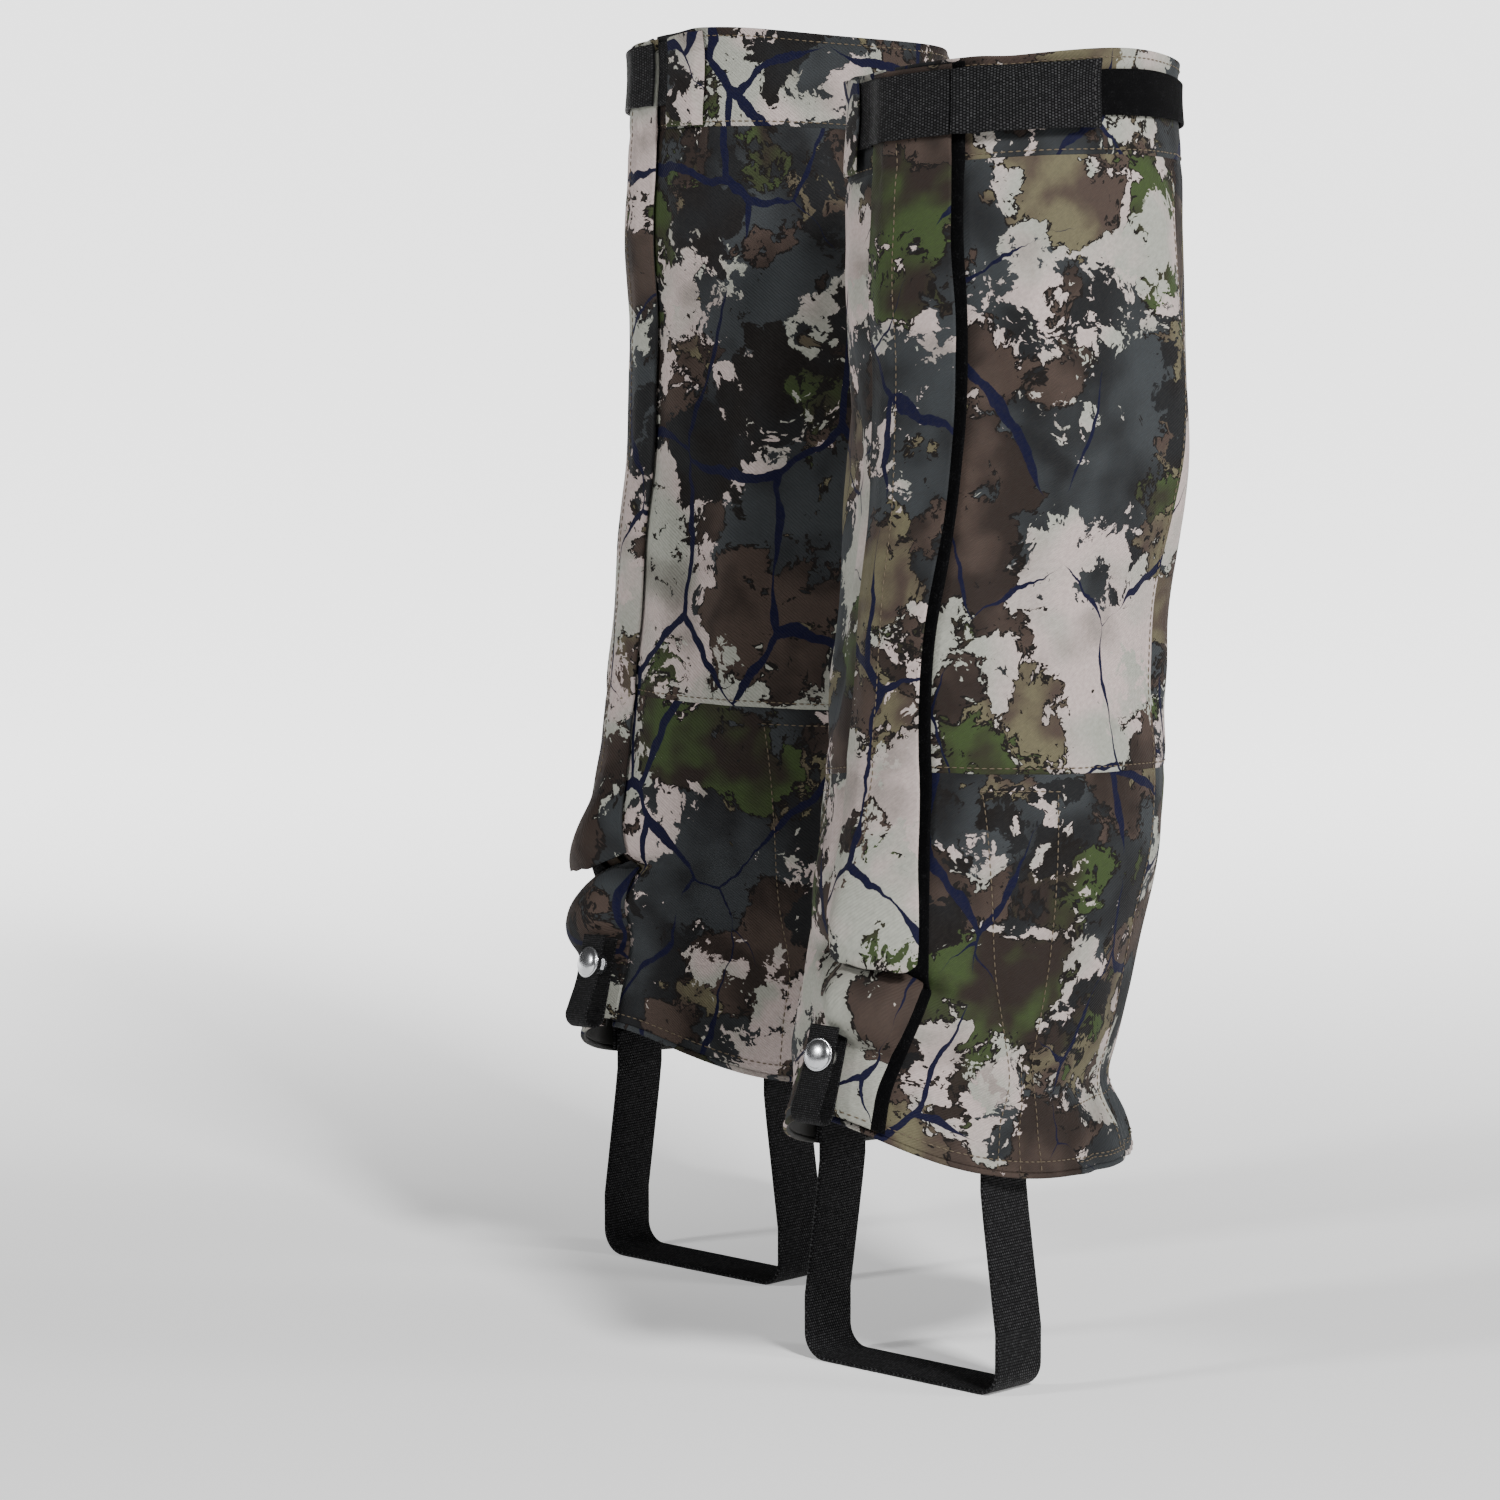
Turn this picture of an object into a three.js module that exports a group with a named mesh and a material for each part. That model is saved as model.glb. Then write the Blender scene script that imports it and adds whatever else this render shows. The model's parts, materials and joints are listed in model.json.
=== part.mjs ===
// A pair of knee-high hunting gaiters, shaped as they are worn over a boot: the shell of one gaiter wraps
// the calf and the boot's ankle, closes at the front under a hook-and-loop storm flap, is tightened by a
// webbing strap at the top, buttons to the boot lace with a press-stud loop and is held down by a strap
// under the instep. Millimetres, +Z up, the toes point to -Y, and the wearer's left leg is at +X.
import * as THREE from "three";

// ---- Driving dimensions -------------------------------------------------------------------------------

const PAIR = {
  spacing: 186, // between the two leg axes
  stride: 80, // how far the right foot stands behind the left
};

// How far each gaiter has crept round its leg, in degrees towards the outside. It fades out at the hem.
const TURN = { left: -11, right: 22 };

const HEIGHT = {
  rim: 484, // top edge
  cuffSeam: 447, // cuff to upper panel
  kneeSeam: 227, // upper to lower panel
  crease: 170, // where the storm flap ends and the toe flap begins
  hem: 79, // bottom edge at the sides and the heel
  hemFront: 107, // bottom edge over the boot's tongue
};

// Half width and half depth of the shell, and how far its middle lies in front of the leg axis.
const SECTIONS = [
  { h: 76, half: 50, deep: 81, shift: 29.5 },
  { h: 116, half: 50, deep: 70, shift: 32 },
  { h: 151, half: 55, deep: 67, shift: 24 },
  { h: 185, half: 61, deep: 65, shift: 17 },
  { h: 220, half: 64, deep: 64, shift: 10 },
  { h: 280, half: 60, deep: 60, shift: 6.5 },
  { h: 344, half: 63, deep: 63, shift: -3 },
  { h: 420, half: 62, deep: 62, shift: -2 },
  { h: 490, half: 59.7, deep: 59.7, shift: -1 },
];

// How much the seams and the rim rise on the side they lean up on, and where that side is.
const LEAN = { knee: 6.5, rim: 5, from: 125, over: 95, towards: { left: 62, right: -30 } };

// Places round the leg, in degrees from the front centre towards the outside of the leg.
const ROUND = {
  flapRoot: -3,
  medialEdge: 0.5,
  lateralEdge: 6,
  flapFree: 32,
  loopTape: [14, 36.5],
  hookTape: [14, 31],
  backSeam: 122,
  strapRoot: [-24, -4],
  facing: [-29, -12],
  strapTail: [34, 81],
  cuffLoop: [39, 160],
  elastic: [104, 256],
  lacing: 5,
};

const CLOTH = 1.6; // shell fabric with its lining, turned edges and seams
const WEBBING = 1.6;
const TAPE = 1.2; // hook or loop tape
const ELASTIC = 1.6;
const GAP = 0.5; // between two pieces that are sewn or pressed together
const SEAM = 0.4; // between two panels that meet edge to edge

const STRAP_WIDTH = 25; // the top strap and the underfoot strap are cut from the same webbing
const LOOP_TAPE_WIDTH = 16;
const STRAP_LEVEL = 469; // the middle of the top strap
const ELASTIC_BAND = { above: 3, width: 20 };
const HEM_ROLL = 1.7;
const ANCHOR_TOP = 222; // how high the underfoot strap is stitched up inside the shell

const FLAP = { ramp: 11, toeGap: 2.5, slant: 12, corner: 4, cornerFrom: 26 };
const TOE_ABOVE_HEM = 1;

const UNDERFOOT = { forward: 49, legTop: 92, clear: 0.9, sole: 49, bend: 10 };

const LACE_LOOP = {
  width: 13,
  thick: 1.1,
  stand: 0.85, // the flat ribbon stands off the bulging flap
  top: 137, // height of the ribbon's upper end
  length: 30,
  bow: 4.4, // radius of the bow that takes the lace
  topGap: 5.2, // between the two legs at the press stud
  studDown: 11, // from the ribbon's upper end to the press stud
};

// The press stud: radii of its turned parts, then their heights.
const STUD = {
  cap: 6.25, flange: 5, hole: 2.6, ball: 2, base: 4.4,
  dome: 2.8, tall: 3.5, socket: 2.6, plate: 0.7,
};

const COLOUR = {
  camo: "#77706a",
  flap: "#8c837d",
  black: "#17171a",
  tape: "#0d0d10",
  elastic: "#2a2a2c",
  nickel: "#b9bcc2",
};

// ---- The worn shape ------------------------------------------------------------------------------------

const rad = THREE.MathUtils.degToRad;
const ease = (x) => THREE.MathUtils.smoothstep(x, 0, 1);

// The section at height h, on a smooth curve through SECTIONS.
const SECTION_CURVES = ["half", "deep", "shift"].map((key) => {
  const points = SECTIONS.map((s) => new THREE.Vector2(s.h, s[key]));
  return new THREE.SplineCurve(points);
});

function sectionAt(h) {
  let i = 0;
  while (i < SECTIONS.length - 2 && SECTIONS[i + 1].h < h) i++;
  let low = 0;
  let high = 1;
  for (let n = 0; n < 24; n++) {
    const mid = (low + high) / 2;
    const at = SECTION_CURVES[0].getPoint((i + mid) / (SECTIONS.length - 1)).x;
    if (at < h) low = mid;
    else high = mid;
  }
  const t = (i + (low + high) / 2) / (SECTIONS.length - 1);
  const [half, deep, shift] = SECTION_CURVES.map((curve) => curve.getPoint(t).y);
  return { half, deep, shift };
}

const turnAt = (h, side) => TURN[side] * ease((h - LEAN.from) / LEAN.over);

// The point of the shell's middle surface at phi degrees round the leg and height h.
function surface(phi, h, side) {
  const { half, deep, shift } = sectionAt(h);
  const share = ease((h - LEAN.from) / LEAN.over);
  const angle = rad(phi + turnAt(h, side));
  const rise = (h - HEIGHT.kneeSeam) / (HEIGHT.rim - HEIGHT.kneeSeam);
  const lean = LEAN.knee * share + LEAN.rim * Math.max(0, rise);
  const lift = lean * Math.cos(angle - rad(LEAN.towards[side]));
  return new THREE.Vector3(half * Math.sin(angle), -shift - deep * Math.cos(angle), h + lift);
}

// The same point moved out by off along the surface's normal.
function skin(phi, h, off, side) {
  const step = 0.5;
  const round = surface(phi + step, h, side).sub(surface(phi - step, h, side));
  const up = surface(phi, h + step, side).sub(surface(phi, h - step, side));
  const normal = round.cross(up).normalize();
  return surface(phi, h, side).addScaledVector(normal, off);
}

// The bottom edge rises over the boot's tongue, and the cloth above it rises with it up to the crease.
function raised(phi, h) {
  const front = ((1 + Math.cos(rad(phi))) / 2) ** 4;
  const share = Math.max(0, (HEIGHT.crease - h) / (HEIGHT.crease - HEIGHT.hem));
  return h + (HEIGHT.hemFront - HEIGHT.hem) * front * Math.min(1, share);
}

// ---- Layers, from the shell outwards, as the inner face of each ----------------------------------------

const SHELL_IN = -CLOTH / 2;
const SHELL_OUT = CLOTH / 2;
const ON_SHELL = SHELL_OUT + GAP + 0.1;
const LOOP_OUT = ON_SHELL + TAPE;
const HOOK_IN = LOOP_OUT + GAP;
const OVER_TAPES = HOOK_IN + TAPE + GAP;
const INSIDE = SHELL_IN - 2 * GAP;

// The flap leaves the shell at its root and climbs over the two tapes.
const flapIn = (phi) =>
  ON_SHELL + (OVER_TAPES - ON_SHELL) * ease((phi - ROUND.flapRoot) / FLAP.ramp);

// The top strap lies on the cuff, climbs over the flap and comes down on its own tapes.
function strapIn(phi) {
  if (phi < ROUND.flapRoot) return ON_SHELL;
  const overFlap = flapIn(Math.min(phi, ROUND.flapFree)) + CLOTH + GAP;
  return overFlap + (OVER_TAPES - overFlap) * ease((phi - ROUND.flapFree - 1) / 8);
}

// ---- Building blocks -----------------------------------------------------------------------------------

function material(colour, roughness = 0.85, metalness = 0) {
  return new THREE.MeshStandardMaterial({ color: colour, roughness, metalness });
}

function piece(name, geometry, colour, roughness, metalness) {
  const mesh = new THREE.Mesh(geometry, material(colour, roughness, metalness));
  mesh.name = name;
  return mesh;
}

// Every layer bends on the same lines, so the gaps between layers stay even.
const FACET = 12; // degrees round the leg
const LEVELS = [];
for (let h = HEIGHT.hem + 14; h < HEIGHT.rim; h += h < 1.5 * HEIGHT.crease ? 16 : 40) LEVELS.push(h);

// The layers' faceted surface: straight between the bending lines.
function facet(phi, h, off, side) {
  const line = Math.floor(phi / FACET) * FACET;
  const start = skin(line, raised(line, h), off, side);
  const end = skin(line + FACET, raised(line + FACET, h), off, side);
  return start.lerp(end, (phi - line) / FACET);
}

const asFunction = (value) => (typeof value === "function" ? value : () => value);

// A sheet that follows the worn shape: round = [from, to] in degrees. The height of its edges and of its
// faces may vary round the leg, and round may vary with the height.
function sheet({ round, low, high, inner, outer, side }) {
  const [lowAt, highAt, innerAt, outerAt] = [low, high, inner, outer].map(asFunction);
  const roundAt = asFunction(round);
  const [first, last] = roundAt(lowAt(0));
  const lines = [first];
  for (let phi = (Math.floor(first / FACET) + 1) * FACET; phi < last - 0.5; phi += FACET)
    if (phi > first + 0.5) lines.push(phi);
  lines.push(last);
  const columns = lines.length - 1;
  const bottom = Math.max(...lines.map(lowAt)) + 2;
  const top = Math.min(...lines.map(highAt)) - 2;
  const levels = LEVELS.filter((h) => h > bottom && h < top);
  const rows = levels.length + 1;
  const geometry = new THREE.BoxGeometry(1, 1, 1, columns, rows, 1);
  const at = geometry.getAttribute("position");
  for (let i = 0; i < at.count; i++) {
    const line = lines[Math.round((at.getX(i) + 0.5) * columns)];
    const row = Math.round((at.getY(i) + 0.5) * rows);
    const h = row === 0 ? lowAt(line) : row === rows ? highAt(line) : levels[row - 1];
    const [from, to] = roundAt(h);
    const phi = from + ((line - first) / (last - first)) * (to - from);
    const off = at.getZ(i) < 0 ? innerAt(phi) : outerAt(phi);
    const point = facet(phi, h, off, side);
    at.setXYZ(i, point.x, point.y, point.z);
  }
  geometry.deleteAttribute("uv");
  geometry.computeVertexNormals();
  return geometry;
}

// A profile drawn in (outwards, upwards) and given a width along the third axis, centred on it.
function ribbonOf(outline, width) {
  const geometry = new THREE.ExtrudeGeometry(outline, {
    depth: width,
    bevelEnabled: false,
    curveSegments: 6,
  });
  geometry.translate(0, 0, -width / 2);
  return geometry;
}

// A turned piece standing on the outward axis: profile is a list of [radius, outwards].
function turned(profile, segments = 14) {
  const points = profile.map(([r, n]) => new THREE.Vector2(r, n));
  return new THREE.LatheGeometry(points, segments);
}

// ---- Sub-assemblies ------------------------------------------------------------------------------------

function shellPanels(side) {
  const fabric = { inner: SHELL_IN, outer: SHELL_OUT, side };
  const lateral = [ROUND.lateralEdge, ROUND.backSeam];
  const medial = [ROUND.backSeam + SEAM, 360 + ROUND.medialEdge];
  const whole = [ROUND.lateralEdge, 360 + ROUND.medialEdge];
  const upper = { low: HEIGHT.kneeSeam, high: HEIGHT.cuffSeam - SEAM };
  const lower = { low: HEIGHT.hem, high: HEIGHT.kneeSeam - SEAM };
  const cuff = { low: HEIGHT.cuffSeam, high: HEIGHT.rim };
  const roll = { low: HEIGHT.hem - SEAM - HEM_ROLL, high: HEIGHT.hem - SEAM };
  return [
    piece(`${side}_cuff`, sheet({ ...fabric, ...cuff, round: whole }), COLOUR.camo),
    piece(`${side}_upper_lateral_panel`, sheet({ ...fabric, ...upper, round: lateral }), COLOUR.camo),
    piece(`${side}_upper_medial_panel`, sheet({ ...fabric, ...upper, round: medial }), COLOUR.camo),
    piece(`${side}_lower_lateral_panel`, sheet({ ...fabric, ...lower, round: lateral }), COLOUR.camo),
    piece(`${side}_lower_medial_panel`, sheet({ ...fabric, ...lower, round: medial }), COLOUR.camo),
    piece(`${side}_hem_roll`, sheet({ ...fabric, ...roll, round: whole }), COLOUR.camo),
  ];
}

// Where the underfoot strap runs up inside the shell: straight up, at the same distance in front of the leg.
function anchorRound(h, side) {
  const { deep, shift } = sectionAt(h);
  return [UNDERFOOT.forward + STRAP_WIDTH / 2, UNDERFOOT.forward - STRAP_WIDTH / 2].map(
    (forward) => THREE.MathUtils.radToDeg(Math.acos((forward - shift) / deep)) - turnAt(h, side),
  );
}

// Stitched inside the shell: the ends of the underfoot strap, and the elastic that gathers the heel.
function insidePieces(side) {
  const anchor = {
    inner: INSIDE - WEBBING,
    outer: INSIDE,
    low: HEIGHT.hem - 2,
    high: ANCHOR_TOP,
    side,
  };
  const elastic = {
    round: ROUND.elastic,
    low: HEIGHT.hem + ELASTIC_BAND.above,
    high: HEIGHT.hem + ELASTIC_BAND.above + ELASTIC_BAND.width,
    inner: INSIDE - ELASTIC,
    outer: INSIDE,
    side,
  };
  const lateral = sheet({ ...anchor, round: (h) => anchorRound(h, side) });
  const medial = sheet({
    ...anchor,
    round: (h) => anchorRound(h, side).map((phi) => 360 - 2 * turnAt(h, side) - phi).reverse(),
  });
  return [
    piece(`${side}_strap_anchor_lateral`, lateral, COLOUR.black),
    piece(`${side}_strap_anchor_medial`, medial, COLOUR.black),
    piece(`${side}_ankle_elastic`, sheet(elastic), COLOUR.elastic),
  ];
}

// The loop tapes on the shell, and the sewn end of the top strap under its facing.
function outsideTapes(side) {
  const tape = { inner: ON_SHELL, outer: LOOP_OUT, side };
  const front = {
    round: ROUND.loopTape,
    low: HEIGHT.hem + 1,
    high: HEIGHT.rim - 1,
  };
  const cuff = {
    round: ROUND.cuffLoop,
    low: () => STRAP_LEVEL - LOOP_TAPE_WIDTH / 2,
    high: () => STRAP_LEVEL + LOOP_TAPE_WIDTH / 2,
  };
  const facingIn = (phi) =>
    ON_SHELL + (WEBBING + GAP) * ease((phi - ROUND.facing[0]) / (ROUND.strapRoot[0] - ROUND.facing[0] - 2));
  const facing = {
    round: ROUND.facing,
    low: HEIGHT.cuffSeam + 1,
    high: HEIGHT.rim - 1,
    inner: facingIn,
    outer: (phi) => facingIn(phi) + CLOTH / 2,
    side,
  };
  const root = { ...strapBand(ROUND.strapRoot, side), inner: ON_SHELL, outer: ON_SHELL + WEBBING };
  return [
    piece(`${side}_front_loop_tape`, sheet({ ...tape, ...front }), COLOUR.tape, 0.95),
    piece(`${side}_cuff_loop_tape`, sheet({ ...tape, ...cuff }), COLOUR.tape, 0.95),
    piece(`${side}_top_strap_root`, sheet(root), COLOUR.black, 0.6),
    piece(`${side}_strap_facing`, sheet(facing), COLOUR.camo),
  ];
}

// A stretch of the top strap between two places round the cuff.
function strapBand(round, side) {
  return {
    round,
    low: () => STRAP_LEVEL - STRAP_WIDTH / 2,
    high: () => STRAP_LEVEL + STRAP_WIDTH / 2,
    inner: strapIn,
    outer: (phi) => strapIn(phi) + WEBBING,
    side,
  };
}

// The crease falls towards the flaps' free edges.
const creaseAt = (phi) =>
  HEIGHT.crease - (FLAP.slant * (phi - ROUND.flapRoot)) / (ROUND.flapFree - ROUND.flapRoot);

function stormFlap(side) {
  const cornerWidth = ROUND.flapFree - FLAP.cornerFrom;
  const corner = (phi) => FLAP.corner * ease((phi - FLAP.cornerFrom) / cornerWidth) ** 2;
  const bottom = (phi) => creaseAt(phi) + corner(phi);
  const flap = {
    round: [ROUND.flapRoot, ROUND.flapFree],
    low: bottom,
    high: HEIGHT.rim - 1,
    inner: flapIn,
    outer: (phi) => flapIn(phi) + CLOTH,
    side,
  };
  const tape = {
    round: ROUND.hookTape,
    low: (phi) => bottom(phi) + 3,
    high: HEIGHT.rim - 4,
    inner: HOOK_IN,
    outer: HOOK_IN + TAPE,
    side,
  };
  const bridge = strapBand([ROUND.flapRoot, ROUND.flapFree], side);
  return [
    piece(`${side}_storm_flap`, sheet(flap), COLOUR.flap),
    piece(`${side}_flap_hook_tape`, sheet(tape), COLOUR.tape, 0.95),
    piece(`${side}_top_strap_bridge`, sheet(bridge), COLOUR.black, 0.6),
  ];
}

function strapTail(side) {
  const [from, to] = ROUND.strapTail;
  const patch = {
    round: [from + 8, to - 2],
    low: () => STRAP_LEVEL - LOOP_TAPE_WIDTH / 2,
    high: () => STRAP_LEVEL + LOOP_TAPE_WIDTH / 2,
    inner: HOOK_IN,
    outer: HOOK_IN + TAPE,
    side,
  };
  return [
    piece(`${side}_top_strap_tail`, sheet(strapBand([from, to], side)), COLOUR.black, 0.6),
    piece(`${side}_strap_hook_patch`, sheet(patch), COLOUR.tape, 0.95),
  ];
}

function toeFlap(side) {
  const top = (phi) => creaseAt(phi) - FLAP.toeGap;
  const flap = {
    round: [ROUND.flapRoot, ROUND.flapFree],
    low: HEIGHT.hem + TOE_ABOVE_HEM,
    high: top,
    inner: flapIn,
    outer: (phi) => flapIn(phi) + CLOTH,
    side,
  };
  const tape = {
    round: ROUND.hookTape,
    low: HEIGHT.hem + 5,
    high: (phi) => top(phi) - 3,
    inner: HOOK_IN,
    outer: HOOK_IN + TAPE,
    side,
  };
  return [
    piece(`${side}_toe_flap`, sheet(flap), COLOUR.flap),
    piece(`${side}_toe_hook_tape`, sheet(tape), COLOUR.tape, 0.95),
  ];
}

// The frame of the lace loop: origin on the toe flap at the ribbon's upper end, x out, y up, z outside.
function laceFrame(side) {
  const out = flapIn(ROUND.lacing) + CLOTH + LACE_LOOP.stand;
  const high = skin(ROUND.lacing, LACE_LOOP.top, out, side);
  const low = skin(ROUND.lacing, HEIGHT.hemFront + 2, out, side);
  const up = high.clone().sub(low).normalize();
  const round = skin(ROUND.lacing + 1, LACE_LOOP.top, out, side).sub(high);
  const away = round.clone().cross(up).normalize();
  const frame = new THREE.Group();
  const axes = new THREE.Matrix4().makeBasis(away, up, away.clone().cross(up));
  frame.quaternion.setFromRotationMatrix(axes);
  frame.position.copy(high);
  return frame;
}

// The ribbon's inner leg is sewn to the toe flap and carries the stud; the outer leg, with its bow, carries
// the socket under the domed cap and folds down off the stud.
function laceLoop(side) {
  const { width, thick, length, bow, topGap, studDown } = LACE_LOOP;
  const frame = laceFrame(side);
  const middle = thick / 2;

  const inner = new THREE.Shape();
  inner.moveTo(0, 0);
  inner.lineTo(0, -length);
  inner.lineTo(thick, -length);
  inner.lineTo(thick, 0);

  const start = -length - 3 * GAP;
  const centre = middle + bow;
  const outerFace = thick + topGap;
  const outer = new THREE.Shape();
  outer.moveTo(0, start);
  outer.absarc(centre, start, bow + middle, Math.PI, 2 * Math.PI, false);
  outer.lineTo(outerFace + thick, -studDown - STUD.cap);
  outer.lineTo(outerFace + thick, 0);
  outer.lineTo(outerFace, 0);
  outer.lineTo(outerFace, -studDown - STUD.cap);
  outer.lineTo(centre + bow - middle, start);
  outer.absarc(centre, start, bow - middle, 2 * Math.PI, Math.PI, true);

  const stud = turned([
    [0, 0], [STUD.base, 0], [STUD.base, STUD.plate], [STUD.ball, STUD.plate + 0.2],
    [STUD.ball, STUD.tall - 0.5], [STUD.ball - 0.6, STUD.tall], [0, STUD.tall],
  ]);
  const inside = STUD.socket - STUD.plate + 0.2;
  const socket = turned([
    [STUD.hole, 0], [STUD.flange, 0], [STUD.flange, STUD.socket - 1], [STUD.flange - 1, STUD.socket],
    [0, STUD.socket], [0, inside], [STUD.hole, inside], [STUD.hole, 0],
  ]);
  const dome = [[0, 0], [STUD.cap - 0.4, 0], [STUD.cap, 0.5]];
  for (let i = 1; i <= 4; i++) {
    const angle = (i / 4) * (Math.PI / 2);
    dome.push([STUD.cap * Math.cos(angle), 0.5 + (STUD.dome - 0.5) * Math.sin(angle)]);
  }
  dome[dome.length - 1][0] = 0;

  const parts = [
    piece(`${side}_lace_ribbon_inner`, ribbonOf(inner, width), COLOUR.black, 0.6),
    piece(`${side}_lace_ribbon_outer`, ribbonOf(outer, width), COLOUR.black, 0.6),
    piece(`${side}_press_stud`, stud, COLOUR.nickel, 0.25, 1),
    piece(`${side}_press_socket`, socket, COLOUR.nickel, 0.25, 1),
    piece(`${side}_press_stud_cap`, turned(dome, 18), COLOUR.nickel, 0.2, 1),
  ];
  const outwards = {
    press_stud: thick + GAP,
    press_socket: outerFace - STUD.socket - GAP,
    press_stud_cap: outerFace + thick + GAP,
  };
  for (const mesh of parts.slice(2)) {
    mesh.rotation.z = -Math.PI / 2; // the lathe's axis turns from up to outwards
    mesh.position.set(outwards[mesh.name.slice(side.length + 1)], -studDown, 0);
  }
  frame.add(...parts);
  return frame;
}

// The strap under the boot's instep: a flat bottom and two legs that go up inside the hem.
function underfootStrap(side) {
  const { legTop, clear, sole, bend, forward } = UNDERFOOT;
  const mouth = skin(anchorRound(legTop, side)[0], legTop, INSIDE - WEBBING, side).x - clear;
  const path = (inset, x) => [
    [x * (mouth - inset), legTop],
    [x * (mouth - inset), HEIGHT.hem - 3],
    [x * (sole - inset), 22],
    [x * (sole - inset), bend],
    [x * (sole - 0.3 * bend - inset * 0.7), 0.3 * bend + inset * 0.3],
    [x * (sole - bend), inset],
  ];
  const outside = [...path(0, 1), ...path(0, -1).reverse()];
  const inside = [...path(WEBBING, -1), ...path(WEBBING, 1).reverse()];
  const outline = new THREE.Shape([...outside, ...inside].map(([x, y]) => new THREE.Vector2(x, y)));
  const mesh = piece(`${side}_underfoot_strap`, ribbonOf(outline, STRAP_WIDTH), COLOUR.black, 0.6);
  mesh.rotation.x = Math.PI / 2;
  mesh.position.y = -forward;
  return mesh;
}

function gaiter(side) {
  const group = new THREE.Group();
  group.add(
    ...shellPanels(side),
    ...insidePieces(side),
    ...outsideTapes(side),
    ...stormFlap(side),
    ...strapTail(side),
    ...toeFlap(side),
    laceLoop(side),
    underfootStrap(side),
  );
  return group;
}

const left = gaiter("left");
left.position.set(PAIR.spacing / 2, -PAIR.stride / 2, 0);
const right = gaiter("right");
right.scale.x = -1; // the right gaiter is the left one's mirror image
right.position.set(-PAIR.spacing / 2, PAIR.stride / 2, 0);

// The origin is on the floor, in the middle of the pair.
const gaiters = new THREE.Group();
gaiters.add(left, right);
const bounds = new THREE.Box3().setFromObject(gaiters, true);
const middle = bounds.getCenter(new THREE.Vector3());
gaiters.position.set(-middle.x, -middle.y, -bounds.min.z);

export default gaiters;
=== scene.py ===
import json
import math
import bpy
import numpy as np
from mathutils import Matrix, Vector


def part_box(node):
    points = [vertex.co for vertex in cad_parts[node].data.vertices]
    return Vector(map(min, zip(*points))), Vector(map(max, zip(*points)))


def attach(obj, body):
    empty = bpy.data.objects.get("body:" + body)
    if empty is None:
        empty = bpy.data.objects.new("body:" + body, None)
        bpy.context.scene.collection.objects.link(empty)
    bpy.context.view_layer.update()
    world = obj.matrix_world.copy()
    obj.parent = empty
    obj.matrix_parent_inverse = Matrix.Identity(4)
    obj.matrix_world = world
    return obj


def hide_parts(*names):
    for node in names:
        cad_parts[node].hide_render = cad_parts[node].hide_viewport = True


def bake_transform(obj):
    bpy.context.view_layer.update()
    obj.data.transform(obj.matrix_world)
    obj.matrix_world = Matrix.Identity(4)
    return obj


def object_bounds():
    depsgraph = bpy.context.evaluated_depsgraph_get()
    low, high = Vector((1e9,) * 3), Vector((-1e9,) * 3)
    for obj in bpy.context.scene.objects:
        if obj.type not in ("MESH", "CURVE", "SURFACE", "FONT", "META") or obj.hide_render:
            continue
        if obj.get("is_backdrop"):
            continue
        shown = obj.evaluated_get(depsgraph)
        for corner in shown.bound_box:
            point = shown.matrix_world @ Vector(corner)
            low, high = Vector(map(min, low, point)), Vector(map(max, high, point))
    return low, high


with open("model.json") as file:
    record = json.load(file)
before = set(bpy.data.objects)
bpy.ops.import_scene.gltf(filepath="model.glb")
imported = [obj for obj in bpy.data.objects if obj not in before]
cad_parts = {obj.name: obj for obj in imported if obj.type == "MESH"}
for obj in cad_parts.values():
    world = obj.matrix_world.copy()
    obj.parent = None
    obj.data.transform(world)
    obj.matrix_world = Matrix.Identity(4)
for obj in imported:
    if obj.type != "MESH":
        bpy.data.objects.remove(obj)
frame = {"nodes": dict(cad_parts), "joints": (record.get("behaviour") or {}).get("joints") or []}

CAD_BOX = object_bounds()
MM = 0.001

# ---- Camera ---------------------------------------------------------------------------------------------


def strap_middle(side):
    low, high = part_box(f"{side}_underfoot_strap")
    return (np.array(low) + np.array(high)) / 2


UNDERFOOT_FORWARD = 49 * MM  # the strap underfoot lies this far in front of the leg axis
AXIS = {side: strap_middle(side)[:2] + [0, UNDERFOOT_FORWARD] for side in ("left", "right")}


VIEW_AZIMUTH, VIEW_ELEVATION, VIEW_DISTANCE, VIEW_HEIGHT = 43, 8, 2.7018, 0.2355
LENS, SENSOR, SHIFT = 168.45, 36, (-0.0504, -0.0241)  # mm, mm, and shares of the picture's width
BETWEEN_LEGS = 0.095  # from the left leg's axis to the middle of the pair


def add_camera():
    data = bpy.data.cameras.new("camera")
    data.lens = LENS
    data.sensor_width = SENSOR
    data.shift_x, data.shift_y = SHIFT
    camera = bpy.data.objects.new("camera", data)
    bpy.context.collection.objects.link(camera)
    a, e = math.radians(VIEW_AZIMUTH), math.radians(VIEW_ELEVATION)
    back = Vector((math.sin(a) * math.cos(e), -math.cos(a) * math.cos(e), math.sin(e)))
    target = Vector((AXIS["left"][0] - BETWEEN_LEGS, AXIS["left"][1], VIEW_HEIGHT))
    camera.location = target + back * VIEW_DISTANCE
    camera.rotation_euler = back.to_track_quat("Z", "Y").to_euler()
    bpy.context.scene.camera = camera


add_camera()

# ---- The worn shape -------------------------------------------------------------------------------------
# Millimetres, and degrees round the leg from the front centre towards its outside.

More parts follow.
